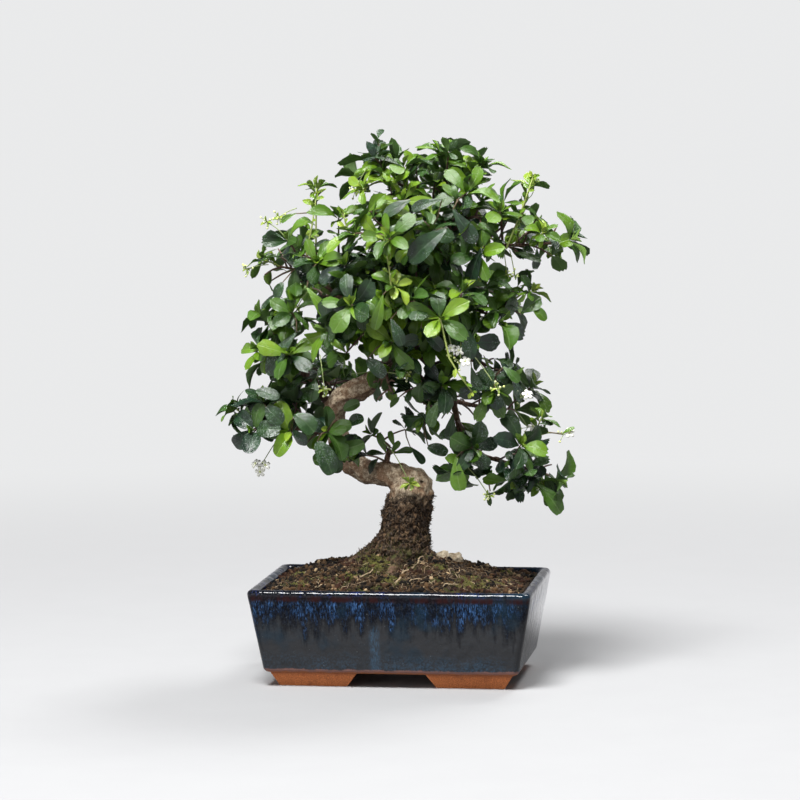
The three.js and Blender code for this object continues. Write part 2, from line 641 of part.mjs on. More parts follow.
// The blade's outline from its right side round the tip to its left side, then its rib's middle
function bladePoints(rosette, place, bend, raise, growth) {
  const { foot, along, across, normal, length, width } = leafFrame(rosette, place, bend);
  const { arch, tip } = rosette.leaves[place];
  const outline = [
    [0.62, -0.5, -0.03 - arch * 0.3],
    [tip[0], -tip[1], -0.03 - arch * 0.7],
    [1, 0, -arch],
    [tip[0], tip[1], -0.03 - arch * 0.7],
    [0.62, 0.5, -0.03 - arch * 0.3],
    [0.5, 0, 0.035],
  ];
  return outline.map(([a, b, c]) => {
    const point = foot.clone().addScaledVector(along, a * length * growth);
    point.addScaledVector(across, b * width * growth);
    return point.addScaledVector(normal, c * length + raise);
  });
}

// Triangles of a blade: both faces fan out from the rib's middle alike, and a wall runs round the edge.
// The edge's corners come in order from the foot's right corner to its left one, top and bottom.
function bladeTriangles(top, bottom, topRib, bottomRib) {
  const triangles = [];
  const last = top.length - 1;
  for (let i = 0; i < last; i++) {
    triangles.push(top[i], top[i + 1], topRib);
    triangles.push(bottom[i + 1], bottom[i], bottomRib);
    triangles.push(bottom[i], bottom[i + 1], top[i + 1], bottom[i], top[i + 1], top[i]);
  }
  triangles.push(top[last], top[0], topRib, bottom[0], bottom[last], bottomRib);
  return triangles;
}

// A thickened copy of one leaf, to test for neighbours in its way
function leafProbe(rosette, place, bend) {
  const half = PROBE_THICKNESS / 2;
  const radial = radialAt(rosette, place);
  const side = rosette.axis.clone().cross(radial);
  const foot = rosette.middle.clone().addScaledVector(radial, HUB_INNER_RADIUS);
  const points = [];
  for (const raise of [half, -half]) {
    for (const way of [-1, 1]) {
      points.push(foot.clone().addScaledVector(side, way).addScaledVector(rosette.axis, raise));
    }
    points.push(...bladePoints(rosette, place, bend, raise, PROBE_GROWTH));
  }
  const upper = [0, 2, 3, 4, 5, 6, 1];
  const lower = upper.map((index) => index + LEAF_CORNERS + 3);
  const walls = [0, 1, LEAF_CORNERS + 4, 0, LEAF_CORNERS + 4, LEAF_CORNERS + 3];
  const ribs = [LEAF_CORNERS + 2, 2 * LEAF_CORNERS + 5];
  return toSolid(faceted(points, [...bladeTriangles(upper, lower, ribs[0], ribs[1]), ...walls]));
}

// One shoot's solid: its twig widens into a hub, and a blade grows from each hub side that has a leaf
function shootSolid(rosette, radii, steps) {
  const { curve } = rosette;
  const count = ROSETTE_LEAVES;
  const half = HUB_THICKNESS / 2;
  const rings = [];
  for (let step = 0; step < steps; step++) {
    const t = step / steps;
    const radius = radii[0] + (radii[1] - radii[0]) * t;
    rings.push(ringFacing(rosette, curve.getPoint(t), curve.getTangent(t), radius));
  }
  rings.push(hubCorners(rosette, -half), hubCorners(rosette, half));
  const points = rings.flat();
  const lower = steps * count;
  const upper = lower + count;
  const triangles = skinTriangles(steps + 1, count);
  for (let i = 0; i < count; i++) {
    const next = (i + 1) % count;
    if (rosette.bends[i]) {
      const start = points.length;
      points.push(...bladePoints(rosette, i, rosette.bends[i], BLADE_THICKNESS / 2, 1));
      points.push(...bladePoints(rosette, i, rosette.bends[i], -BLADE_THICKNESS / 2, 1));
      const edge = [...Array(LEAF_CORNERS).keys()].map((index) => start + index);
      const top = [upper + i, ...edge, upper + next];
      const bottom = [lower + i, ...edge.map((index) => index + LEAF_CORNERS + 1), lower + next];
      const ribs = [start + LEAF_CORNERS, start + 2 * LEAF_CORNERS + 1];
      triangles.push(...bladeTriangles(top, bottom, ribs[0], ribs[1]));
    } else {
      triangles.push(lower + i, lower + next, upper + next, lower + i, upper + next, upper + i);
    }
  }
  return toSolid(faceted(points, [...triangles, ...capTriangles(count, upper)]));
}

// A ring round the twig whose corners face the way that the hub's corners do
function ringFacing(rosette, middle, along, radius) {
  const ring = [];
  for (let i = 0; i < ROSETTE_LEAVES; i++) {
    const radial = radialAt(rosette, i - 0.5);
    radial.addScaledVector(along, -radial.dot(along)).normalize();
    ring.push(middle.clone().addScaledVector(radial, radius));
  }
  return ring;
}

function spraySolid(rosettes) {
  return joinAll(
    rosettes.map((rosette, index) =>
      index ? shootSolid(rosette, SHOOT_RADII, SHOOT_STEPS) : shootSolid(rosette, TWIG_RADII, TWIG_STEPS),
    ),
  );
}

function boxOf(solid) {
  const { min, max } = solid.boundingBox();
  return new THREE.Box3(vector(min), vector(max));
}

// Whether a probe meets nothing but what it grows from
function isClear(probe, obstacles, owner) {
  const box = boxOf(probe);
  const near = obstacles.filter((other) => other.owner !== owner && other.box.intersectsBox(box));
  return !near.some((other) => !probe.intersect(other.solid).isEmpty());
}

function addObstacle(obstacles, owner, solid) {
  obstacles.push({ owner, solid, box: boxOf(solid) });
}

// The rosettes of one spray, with their leaves still folded away
function drawSpray(row, index, wood) {
  const draw = makeDraw(12345 + 104729 * (index + 1));
  const length = (row.young ? YOUNG_LEAF_LENGTH : LEAF_LENGTH) * (row.size || 1);
  return twigCurves(row, wood).map((curve) => drawRosette(draw, curve, length));
}

// Bends each leaf of a rosette clear of what is there already, or leaves it out
function settleLeaves(rosette, obstacles, owner) {
  rosette.bends = rosette.leaves.map((leaf, place) => {
    for (const bend of BENDS) {
      const probe = leafProbe(rosette, place, bend);
      if (isClear(probe, obstacles, owner)) return bend;
    }
    return null;
  });
  rosette.leaves.forEach((leaf, place) => {
    if (!rosette.bends[place]) return;
    addObstacle(obstacles, rosette, leafProbe(rosette, place, rosette.bends[place]));
  });
}

// A five-petalled floret, open upwards
function makeFloret(middle, axis) {
  const across = new THREE.Vector3(0.2, 0.1, 1).cross(axis).normalize();
  const over = axis.clone().cross(across);
  const corner = (index, raise) => {
    const radius = index % 2 ? FLORET_RADIUS * 0.42 : FLORET_RADIUS;
    const angle = (index / (PETALS * 2)) * Math.PI * 2;
    const point = middle.clone().addScaledVector(across, radius * Math.cos(angle));
    return point.addScaledVector(over, radius * Math.sin(angle)).addScaledVector(axis, raise);
  };
  const indices = [...Array(PETALS * 2).keys()];
  const bottom = indices.map((index) => corner(index, 0));
  const top = indices.map((index) => corner(index, FLORET_THICKNESS));
  return toSolid(loft([bottom, top]));
}

// A stalklet that swells into a bud
function makeBud(head, end) {
  const curve = new THREE.LineCurve3(head, end);
  const last = BUD_PROFILE.length - 1;
  return stem(curve, last, (t) => BUD_PROFILE[Math.round(t * last)], STALK_SIDES);
}

// A flower head: its stalk, short stalklets, open florets and buds
function makeFlowers(row, index, wood) {
  const draw = makeDraw(90001 + 7919 * index);
  const [carrier] = twigCurves(SPRAYS[row.on], wood);
  const middle = carrier.getPoint(row.at);
  const head = vector(row.head);
  const radius = TWIG_RADII[0] + (TWIG_RADII[1] - TWIG_RADII[0]) * row.at;
  const seat = seatOnSide(middle, carrier.getTangent(row.at), radius, STALK_RADIUS, head);
  const sag = new THREE.Vector3(0, 0, 0.1 * seat.distanceTo(head));
  const curve = curveThrough([seat, seat.clone().lerp(head, 0.5).add(sag), head]);
  const pieces = [stem(curve, 2, () => STALK_RADIUS, STALK_SIDES), headHub(head)];
  const total = row.open + row.buds;
  for (let i = 0; i < total; i++) {
    const angle = ((i + 0.3 * draw()) / total) * Math.PI * 2;
    const away = new THREE.Vector3(Math.cos(angle), -0.4 + 0.3 * draw(), Math.sin(angle));
    const end = head.clone().addScaledVector(away, HEAD_SPREAD * (0.8 + 0.3 * draw()));
    if (i < row.open) {
      pieces.push(stem(new THREE.LineCurve3(head, end), 1, () => STALK_RADIUS, STALK_SIDES));
      pieces.push(makeFloret(end, away.clone().normalize()));
    } else {
      pieces.push(makeBud(head, end));
    }
  }
  return joinAll(pieces);
}

// The small knob that a head's stalklets part from
function headHub(middle) {
  const geometry = new THREE.OctahedronGeometry(HEAD_RADIUS, 0);
  geometry.translate(middle.x, middle.y, middle.z);
  return toSolid(geometry);
}

// The crown: every spray's twigs first, then the flower heads, then leaf by leaf
function makeCrown(wood) {
  const names = Object.keys(SPRAYS);
  const obstacles = [];
  addObstacle(obstacles, "wood", wood);
  const crown = names.map((name, index) => drawSpray(SPRAYS[name], index, wood));
  crown.forEach((rosettes, i) => addObstacle(obstacles, names[i], spraySolid(rosettes)));
  const flowers = Object.values(FLOWERS).map((row, index) => makeFlowers(row, index, wood));
  flowers.forEach((head) => addObstacle(obstacles, "flowers", head));
  crown.forEach((rosettes, i) => rosettes.forEach((rosette) => settleLeaves(rosette, obstacles, names[i])));
  const sprays = crown.map(spraySolid);
  return { names, sprays, flowers };
}

const bonsai = new THREE.Group();
const pot = new THREE.Group();
const tree = new THREE.Group();
bonsai.add(pot, tree);

pot.add(meshOf("pot", makePot(), GLAZE));
pot.add(meshOf("drain_screen_left", makeScreen(-DRAIN_X), PLASTIC));
pot.add(meshOf("drain_screen_right", makeScreen(DRAIN_X), PLASTIC));
pot.add(meshOf("soil", makeSoil(), SOIL));
for (const pebble of PEBBLES) pot.add(meshOf(pebble.name, pebbleSolid(pebble, 0), STONE));

const wood = makeWood(0);
const { names, sprays, flowers } = makeCrown(wood);
tree.add(meshOf("trunk_and_branches", wood, BARK));
names.forEach((name, i) => tree.add(meshOf(name, sprays[i], SPRAYS[name].young ? YOUNG_LEAF : LEAF)));
Object.keys(FLOWERS).forEach((name, i) => tree.add(meshOf(name, flowers[i], FLOWER)));

export default bonsai;
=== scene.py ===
import math
import random

import bmesh
import bpy
import numpy as np
from mathutils import Matrix, Vector, noise
from mathutils.bvhtree import BVHTree
from mathutils.kdtree import KDTree


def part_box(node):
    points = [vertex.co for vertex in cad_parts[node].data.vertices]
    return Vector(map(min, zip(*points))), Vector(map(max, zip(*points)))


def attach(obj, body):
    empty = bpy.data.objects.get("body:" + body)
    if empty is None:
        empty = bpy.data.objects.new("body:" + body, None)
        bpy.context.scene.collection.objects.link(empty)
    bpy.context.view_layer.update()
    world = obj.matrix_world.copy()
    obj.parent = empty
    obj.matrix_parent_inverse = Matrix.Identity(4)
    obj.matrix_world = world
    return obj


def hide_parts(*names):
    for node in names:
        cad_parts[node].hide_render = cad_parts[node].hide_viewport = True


# A fukien tea bonsai in its glazed pot. Sizes are in millimetres unless a name says otherwise, and MM
# turns them into the scene's metres. +Z is up, +X is to the right and -Y is the front.
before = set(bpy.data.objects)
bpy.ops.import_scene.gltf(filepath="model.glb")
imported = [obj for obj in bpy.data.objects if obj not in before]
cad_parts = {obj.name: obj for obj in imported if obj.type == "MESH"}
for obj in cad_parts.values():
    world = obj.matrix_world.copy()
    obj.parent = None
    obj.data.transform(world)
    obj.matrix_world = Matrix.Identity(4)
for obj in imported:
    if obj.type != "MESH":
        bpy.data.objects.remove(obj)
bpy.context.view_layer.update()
MM = 0.001

# Pot tub: one piece of fired clay pressed in a mould, with a flat rim and walls that lean inwards.
# It was dipped in thin dark blue glaze, which rounded its edges and stopped short of its underside.
POT_LOW, POT_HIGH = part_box("pot")
RIM_SIZE = Vector((POT_HIGH.x - POT_LOW.x, POT_HIGH.y - POT_LOW.y)) / MM
POT_HEIGHT = POT_HIGH.z / MM
TUB_BASE_SIZE = (233, 151)
TUB_BASE_Z = 13
RIM_WIDTH = 11
TUB_FLOOR_Z = 24
CAVITY_BASE_SIZE = (212, 130)
CORNER_RADIUS = 6
RIM_ROUNDING = 5.0
BASE_ROUNDING = 4
ROUNDING_STEPS = 5
DRAIN_X = 55
DRAIN_RADIUS = 9
DRAIN_CUT_LENGTH = 60


def begin(add, **settings):
    """Adds a primitive with nothing else selected, and opens it for editing."""
    bpy.ops.object.select_all(action="DESELECT")
    add(**settings)
    bpy.ops.object.mode_set(mode="EDIT")
    return bpy.context.active_object


def pick(piece, kind, test):
    """Selects the corners, edges or faces of an open piece whose middle, in millimetres, passes the test."""
    bpy.ops.mesh.select_all(action="DESELECT")
    bpy.ops.mesh.select_mode(type=kind)
    shape = bmesh.from_edit_mesh(piece.data)
    for item in {"VERT": shape.verts, "EDGE": shape.edges, "FACE": shape.faces}[kind]:
        corners = [item] if kind == "VERT" else item.verts
        middle = sum((corner.co for corner in corners), Vector()) / len(corners)
        if test(middle / MM):
            item.select_set(True)
    bmesh.update_edit_mesh(piece.data)


def resize(x, y, z=1.0):
    """Scales what is selected."""
    bpy.ops.transform.resize(value=(x, y, z))


def shift(x, y, z):
    """Moves what is selected, in millimetres."""
    bpy.ops.transform.translate(value=(x * MM, y * MM, z * MM))


def close(piece, name, angle=40):
    """Leaves editing, names the piece, and shades it smooth except at edges sharper than the angle."""
    bpy.ops.object.mode_set(mode="OBJECT")
    piece.name = name
    piece.data.name = name
    bpy.ops.object.shade_smooth_by_angle(angle=math.radians(angle))
    return piece


def modify(piece, kind, **settings):
    """Adds a modifier to the piece and applies it."""
    bpy.ops.object.select_all(action="DESELECT")
    bpy.context.view_layer.objects.active = piece
    piece.select_set(True)
    modifier = piece.modifiers.new(kind.lower(), kind)
    for key, value in settings.items():
        setattr(modifier, key, value)
    bpy.ops.object.modifier_apply(modifier=modifier.name)


def combine(piece, other, operation):
    """Joins another piece to this one, or cuts it out, and removes the other."""
    modify(piece, "BOOLEAN", object=other, operation=operation, solver="EXACT")
    bpy.data.objects.remove(other)


def wall_size(z):
    """The tub's outer width and depth at a height."""
    share = (z - TUB_BASE_Z) / (POT_HEIGHT - TUB_BASE_Z)
    return Vector(TUB_BASE_SIZE).lerp(RIM_SIZE, share)


def tub_sections():
    """The heights and sizes of the tub's sections: up its outside, over its rim and down its inside."""
    both_sides = Vector((2, 2))
    steps = [math.pi / 2 * k / ROUNDING_STEPS for k in range(ROUNDING_STEPS + 1)]
    sections = []
    for angle in steps:
        z = TUB_BASE_Z + BASE_ROUNDING * (1 - math.cos(angle))
        sections.append((z, wall_size(z) - both_sides * BASE_ROUNDING * (1 - math.sin(angle))))
    for angle in steps:
        z = POT_HEIGHT - RIM_ROUNDING * (1 - math.sin(angle))
        sections.append((z, wall_size(z) - both_sides * RIM_ROUNDING * (1 - math.cos(angle))))
    for angle in steps:
        z = POT_HEIGHT - RIM_ROUNDING * (1 - math.cos(angle))
        sections.append((z, RIM_SIZE - both_sides * (RIM_WIDTH - RIM_ROUNDING * (1 - math.sin(angle)))))
    sections.append((TUB_FLOOR_Z, Vector(CAVITY_BASE_SIZE)))
    return sections


sections = tub_sections()
pot_tub = begin(bpy.ops.mesh.primitive_plane_add, size=1)
resize(sections[0][1].x * MM, sections[0][1].y * MM)
shift(0, 0, TUB_BASE_Z)
bpy.ops.mesh.bevel(offset=CORNER_RADIUS * MM, segments=6, affect="VERTICES")
for (low_z, low_size), (z, size) in zip(sections, sections[1:]):
    bpy.ops.mesh.extrude_region_move(TRANSFORM_OT_translate={"value": (0, 0, (z - low_z) * MM)})
    resize(size.x / low_size.x, size.y / low_size.y)
bpy.ops.mesh.select_all(action="SELECT")
bpy.ops.mesh.normals_make_consistent(inside=False)
close(pot_tub, "pot_tub")
for side in (-1, 1):
    drain = begin(
        bpy.ops.mesh.primitive_cylinder_add,
        vertices=32,
        radius=DRAIN_RADIUS * MM,
        depth=DRAIN_CUT_LENGTH * MM,
    )
    shift(side * DRAIN_X, 0, 0)
    close(drain, "drain_cut")
    combine(pot_tub, drain, "DIFFERENCE")


def finish(name, roughness):
    """A new material, its node tree and its main shader."""
    made = bpy.data.materials.new(name)
    made.use_nodes = True
    shader = made.node_tree.nodes["Principled BSDF"]
    shader.inputs["Roughness"].default_value = roughness
    return made, made.node_tree, shader


def node(tree, kind, inputs, out=0, **settings):
    """Adds a shader node, fills or links its inputs by name or number, and returns one of its outputs."""
    made = tree.nodes.new("ShaderNode" + kind)
    for key, value in settings.items():
        setattr(made, key, value)
    for key, value in inputs.items():
        if isinstance(value, bpy.types.NodeSocket):
            tree.links.new(value, made.inputs[key])
        else:
            made.inputs[key].default_value = value
    return made.outputs[out]


def place_of(tree, stretch=(1, 1, 1)):
    """The place on the piece in millimetres, squeezed along its axes."""
    place = node(tree, "TexCoord", {}, "Object")
    return node(tree, "Mapping", {"Vector": place, "Scale": [s / MM for s in stretch]})


def grain(tree, place, size, detail=4, roughness=0.55):
    """Noise between 0 and 1 whose lumps are about the size given."""
    settings = {"Vector": place, "Scale": 1 / size, "Detail": detail, "Roughness": roughness}
    return node(tree, "TexNoise", settings)


def math_of(tree, operation, first, second=0.0):
    """One value worked out of two, or of the first alone."""
    return node(tree, "Math", {0: first, 1: second}, operation=operation)


def product(tree, *values):
    """Several values multiplied with each other."""
    whole = values[0]
    for value in values[1:]:
        whole = math_of(tree, "MULTIPLY", whole, value)
    return whole


def ease(tree, value, low, high, start=0.0, end=1.0):
    """Goes from start to end, smoothly, while the value goes from low to high."""
    limits = {"Value": value, "From Min": low, "From Max": high, "To Min": start, "To Max": end}
    return node(tree, "MapRange", limits, interpolation_type="SMOOTHSTEP")


def tint(tree, share, first, second):
    """Mixes two colours by a share."""
    colours = [c if isinstance(c, bpy.types.NodeSocket) else (*c, 1) for c in (first, second)]
    return node(tree, "Mix", {0: share, 6: colours[0], 7: colours[1]}, 2, data_type="RGBA")


def paint(tree, shader, colour):
    """Gives a shader its colour."""
    tree.links.new(colour, shader.inputs["Base Color"])


def relief(tree, shader, height, depth, strength=1.0, under=None):
    """Adds a bump of a depth in millimetres to a shader, over another bump if there is one."""
    inputs = {"Height": height, "Distance": depth * MM, "Strength": strength}
    if under:
        inputs["Normal"] = under
    bump = node(tree, "Bump", inputs)
    tree.links.new(bump, shader.inputs["Normal"])
    return bump


# Its glaze: near black at the rim with blue flecks, a brown line under it, bright blue runs below that,
# and slate blue further down. It thins out to a reddish line on the rounded edge of the base, below
# which the clay is bare. Each pair of heights is where a tone starts and where it is full.
GLAZE_BLACK = (0.002, 0.0025, 0.005)
GLAZE_SLATE = (0.033, 0.034, 0.037)
GLAZE_GREY = (0.035, 0.042, 0.05)
GLAZE_TEAL = (0.010, 0.030, 0.05)
GLAZE_BLUE = (0.006, 0.028, 0.08)
GLAZE_TURQUOISE = (0.065, 0.15, 0.34)
GLAZE_RIM_BLUE = (0.008, 0.02, 0.11)
GLAZE_BROWN = (0.024, 0.006, 0.006)
GLAZE_PALE = (0.05, 0.105, 0.17)
PINHOLE_GREY = (0.25, 0.28, 0.29)
CLAY_BARE = (0.34, 0.115, 0.045)
CLAY_PINK = (0.24, 0.12, 0.10)
BLACK_ABOVE_Z = (48, 70)
RUNS_BOTTOM_Z = (62, 76)
RUNS_TOP_Z = (83, 78)
RIM_FLECKS_Z = (83, 85.5)
BROWN_LINE_BOTTOM_Z = (79, 82)
BROWN_LINE_TOP_Z = (87, 83.5)
DULL_BAND_BOTTOM_Z = (58, 74)
DULL_BAND_TOP_Z = (86, 83)
PALE_BELOW_Z = (36, 19)
PINK_BELOW_Z = (20.8, 19.0)
BARE_BELOW_Z = (18.4, 16.8)
DRIP_X = -13
DRIP_WIDTH = 8
DRIP_TOP_Z = (62, 50)
DRIP_FACE_Y = (-60, -70)

glaze, tree, shader = finish("dark_blue_glaze", 0.1)
place = place_of(tree)
parts = node(tree, "SeparateXYZ", {0: place})
sideways, inwards, height = parts, parts.node.outputs["Y"], parts.node.outputs["Z"]
drips_place = place_of(tree, (1, 1, 0.1))
drips = grain(tree, drips_place, 7, 3, 0.6)
lines = grain(tree, place_of(tree, (1, 1, 0.05)), 0.9, 4, 0.7)
short_lines = grain(tree, place_of(tree, (1, 1, 0.16)), 1.1, 5, 0.7)
drifts = grain(tree, place, 34, 3)
mottle = grain(tree, place, 2.0, 6, 0.72)
waver = product(tree, math_of(tree, "SUBTRACT", drips, 0.5), 70)
drip_height = math_of(tree, "ADD", math_of(tree, "ADD", height, waver), product(tree, drifts, 10))
dark_face = tint(tree, ease(tree, drip_height, *BLACK_ABOVE_Z), GLAZE_SLATE, GLAZE_BLACK)
dark_face = tint(tree, ease(tree, mottle, 0.46, 0.72, 0, 0.6), dark_face, GLAZE_GREY)
dark_face = tint(tree, ease(tree, drifts, 0.5, 0.68, 0, 0.5), dark_face, GLAZE_TEAL)
bunches = ease(tree, grain(tree, place_of(tree, (1, 1, 0.3)), 13, 4, 0.6), 0.4, 0.62, 0.08, 1)
in_band = product(tree, ease(tree, drip_height, *RUNS_BOTTOM_Z), ease(tree, height, *RUNS_TOP_Z), bunches)
colour = tint(tree, product(tree, in_band, ease(tree, short_lines, 0.42, 0.58)), dark_face, GLAZE_BLUE)
flecks = product(tree, in_band, ease(tree, short_lines, 0.47, 0.6), ease(tree, lines, 0.4, 0.6, 0.2, 1))
colour = tint(tree, flecks, colour, GLAZE_TURQUOISE)
from_drip = math_of(tree, "ABSOLUTE", math_of(tree, "SUBTRACT", sideways, DRIP_X))
drip = product(
    tree,
    ease(tree, from_drip, DRIP_WIDTH * 0.2, DRIP_WIDTH * 0.8, 1, 0),
    ease(tree, height, *DRIP_TOP_Z),
    ease(tree, inwards, *DRIP_FACE_Y),
    ease(tree, short_lines, 0.38, 0.62, 0.05, 0.7),
)
colour = tint(tree, drip, colour, GLAZE_PALE)
low_edge = product(
    tree,
    ease(tree, height, *PALE_BELOW_Z),
    ease(tree, mottle, 0.4, 0.62, 0, 0.55),
    ease(tree, drifts, 0.35, 0.6, 0.15, 1),
)
colour = tint(tree, low_edge, colour, GLAZE_PALE)
rim_flecks = product(
    tree,
    ease(tree, height, *RIM_FLECKS_Z),
    ease(tree, bunches, 0.3, 0.9),
    ease(tree, mottle, 0.5, 0.6, 0, 0.7),
)
colour = tint(tree, rim_flecks, colour, GLAZE_RIM_BLUE)
brown_line = product(
    tree,
    ease(tree, height, *BROWN_LINE_BOTTOM_Z),
    ease(tree, height, *BROWN_LINE_TOP_Z),
    ease(tree, drips, 0.4, 0.62, 0.1, 0.9),
)
colour = tint(tree, brown_line, colour, GLAZE_BROWN)
pinhole = node(tree, "TexVoronoi", {"Vector": place, "Scale": 1 / 4.2})
pinhole = product(tree, ease(tree, pinhole, 0.12, 0.06), ease(tree, mottle, 0.5, 0.66))
colour = tint(tree, product(tree, pinhole, 0.5), colour, PINHOLE_GREY)
worn_height = math_of(tree, "ADD", height, product(tree, grain(tree, place, 12, 6, 0.75), 6))
colour = tint(tree, ease(tree, worn_height, *PINK_BELOW_Z), colour, CLAY_PINK)
bare = ease(tree, worn_height, *BARE_BELOW_Z)
paint(tree, shader, tint(tree, bare, colour, CLAY_BARE))
gloss = math_of(tree, "ADD", ease(tree, mottle, 0.4, 0.8, 0.05, 0.14), product(tree, bare, 0.6))
tree.links.new(gloss, shader.inputs["Roughness"])
dull_band = product(tree, ease(tree, height, *DULL_BAND_BOTTOM_Z), ease(tree, height, *DULL_BAND_TOP_Z))
tree.links.new(ease(tree, dull_band, 0, 1, 0.26, 0.11), shader.inputs["Specular IOR Level"])
uneven = relief(tree, shader, grain(tree, place, 17, 3), 1.8, 0.6)
uneven = relief(tree, shader, grain(tree, place, 6.5, 2), 0.7, 0.6, uneven)
uneven = relief(tree, shader, grain(tree, drips_place, 6, 3), 0.3, 0.6, uneven)
relief(tree, shader, pinhole, -0.3, 0.8, uneven)
pot_tub.data.materials.append(glaze)
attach(pot_tub, "root")
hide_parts("pot")

# Pot feet: four L-shaped corner feet, fired with the tub as one piece and left without glaze.
# Their ends and sides slant inwards, and their edges are worn a little round.
FOOT_TOP_X = (30, 112)
FOOT_BOTTOM_X = (41, 103)
FOOT_TOP_Y = (30, 71)
FOOT_BOTTOM_Y = (39, 65)
FOOT_TOP_THICKNESS = 20
FOOT_BOTTOM_THICKNESS = 14
FOOT_ROOT_Z = 15
FOOT_EDGE_WEAR = 1.3
FOOT_CLAY = ((0.42, 0.118, 0.036), (0.84, 0.285, 0.09))
FOOT_SMUDGE = (0.2, 0.055, 0.025)
FOOT_TOP_PAINTED_SHADE = (0.12, 0.04, 0.03)


def spread_of(low, high, side):
    """A range measured outwards from the middle, on one side of the pot."""
    return sorted((low * side, high * side))


def tapered_block(bottom_x, bottom_y, top_x, top_y):
    """A block from the ground up to inside the tub, narrower below."""
    block = begin(bpy.ops.mesh.primitive_cube_add, size=1)
    resize((top_x[1] - top_x[0]) * MM, (top_y[1] - top_y[0]) * MM, FOOT_ROOT_Z * MM)
    shift(sum(top_x) / 2, sum(top_y) / 2, FOOT_ROOT_Z / 2)
    pick(block, "FACE", lambda at: at.z < 0.1)
    narrow_x = (bottom_x[1] - bottom_x[0]) / (top_x[1] - top_x[0])
    narrow_y = (bottom_y[1] - bottom_y[0]) / (top_y[1] - top_y[0])
    resize(narrow_x, narrow_y)
    shift((sum(bottom_x) - sum(top_x)) / 2, (sum(bottom_y) - sum(top_y)) / 2, 0)
    return close(block, "foot_leg")


def make_foot(side_x, side_y):
    """One foot: a leg along the front or back, joined to a leg along the side."""
    long_leg = tapered_block(
        spread_of(*FOOT_BOTTOM_X, side_x),
        spread_of(FOOT_BOTTOM_Y[1] - FOOT_BOTTOM_THICKNESS, FOOT_BOTTOM_Y[1], side_y),
        spread_of(*FOOT_TOP_X, side_x),
        spread_of(FOOT_TOP_Y[1] - FOOT_TOP_THICKNESS, FOOT_TOP_Y[1], side_y),
    )
    side_leg = tapered_block(
        spread_of(FOOT_BOTTOM_X[1] - FOOT_BOTTOM_THICKNESS, FOOT_BOTTOM_X[1], side_x),
        spread_of(*FOOT_BOTTOM_Y, side_y),
        spread_of(FOOT_TOP_X[1] - FOOT_TOP_THICKNESS, FOOT_TOP_X[1], side_x),
        spread_of(*FOOT_TOP_Y, side_y),
    )
    combine(long_leg, side_leg, "UNION")
    modify(long_leg, "BEVEL", width=FOOT_EDGE_WEAR * MM, segments=3, limit_method="ANGLE")
    return long_leg


feet = [make_foot(side_x, side_y) for side_x in (-1, 1) for side_y in (-1, 1)]
bpy.ops.object.select_all(action="DESELECT")
for foot in feet:
    foot.select_set(True)
bpy.context.view_layer.objects.active = feet[0]
bpy.ops.object.join()
pot_feet = close(feet[0], "pot_feet")

clay, tree, shader = finish("bare_clay", 0.82)
place = place_of(tree)
speckle = grain(tree, place, 0.8, 5, 0.7)
smudge = grain(tree, place, 14, 4, 0.6)
colour = tint(tree, ease(tree, speckle, 0.35, 0.7), *FOOT_CLAY)
colour = tint(tree, ease(tree, smudge, 0.5, 0.75, 0, 0.6), colour, FOOT_SMUDGE)
height = node(tree, "SeparateXYZ", {0: place}, "Z")
# Painted shade: the feet are darkened towards their tops, under the tub's base.
colour = tint(tree, ease(tree, height, 9, 14, 0, 0.55), colour, FOOT_TOP_PAINTED_SHADE)
paint(tree, shader, colour)
relief(tree, shader, speckle, 0.25, 0.8, relief(tree, shader, grain(tree, place, 5, 3), 0.6, 0.5))
pot_feet.data.materials.append(clay)
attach(pot_feet, "root")
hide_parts("pot")

# Drain screens: two pierced squares of black plastic mesh, laid over the drain holes before the soil
# went in. The solids have the right shape, and only their moulded finish is added.
SCREEN_BLACK = ((0.012, 0.012, 0.013), (0.03, 0.03, 0.032))

screen_plastic, tree, shader = finish("black_screen_plastic", 0.55)
place = place_of(tree)
pebbled = grain(tree, place, 0.6, 3)
paint(tree, shader, tint(tree, pebbled, *SCREEN_BLACK))
relief(tree, shader, pebbled, 0.08)
for name in ("drain_screen_left", "drain_screen_right"):
    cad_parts[name].data.materials.clear()
    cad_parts[name].data.materials.append(screen_plastic)

# Soil: dark potting soil that fills the tub to just under its rim and rises in a mound to the trunk.
# Its surface is crumbs, fibres and a few pale roots, with patches of moss round the trunk.
SOIL_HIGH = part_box("soil")[1]
SOIL_HALF = (SOIL_HIGH.x / MM, SOIL_HIGH.y / MM)
SOIL_EDGE_Z = 86
SOIL_RISE = 35
SOIL_SLOPE_POWER = 1.15
SOIL_SQUARENESS = 5
SOIL_CREST_SHARE = 0.22
HEAP_PLACE = (-84, 8)
HEAP_SPREAD = (24, 40)
HEAP_HEIGHT = 5
SOIL_CELLS = (176, 116)
SOIL_WALL_DEPTH = 20
SOIL_BOTTOM_Z = 26
SOIL_BROWN = ((0.004, 0.0025, 0.0015), (0.07, 0.042, 0.02))
SOIL_PATCH = (0.045, 0.024, 0.012)
SOIL_GREEN = (0.045, 0.06, 0.014)


def mound_height(x, y):
    """The height of the smooth mound, highest in the middle and level along the pot's walls."""
    share = (abs(x) / SOIL_HALF[0]) ** SOIL_SQUARENESS + (abs(y) / SOIL_HALF[1]) ** SOIL_SQUARENESS
    share = min(1, share ** (1 / SOIL_SQUARENESS))
    return SOIL_EDGE_Z + SOIL_RISE * (1 - max(share, SOIL_CREST_SHARE)) ** SOIL_SLOPE_POWER


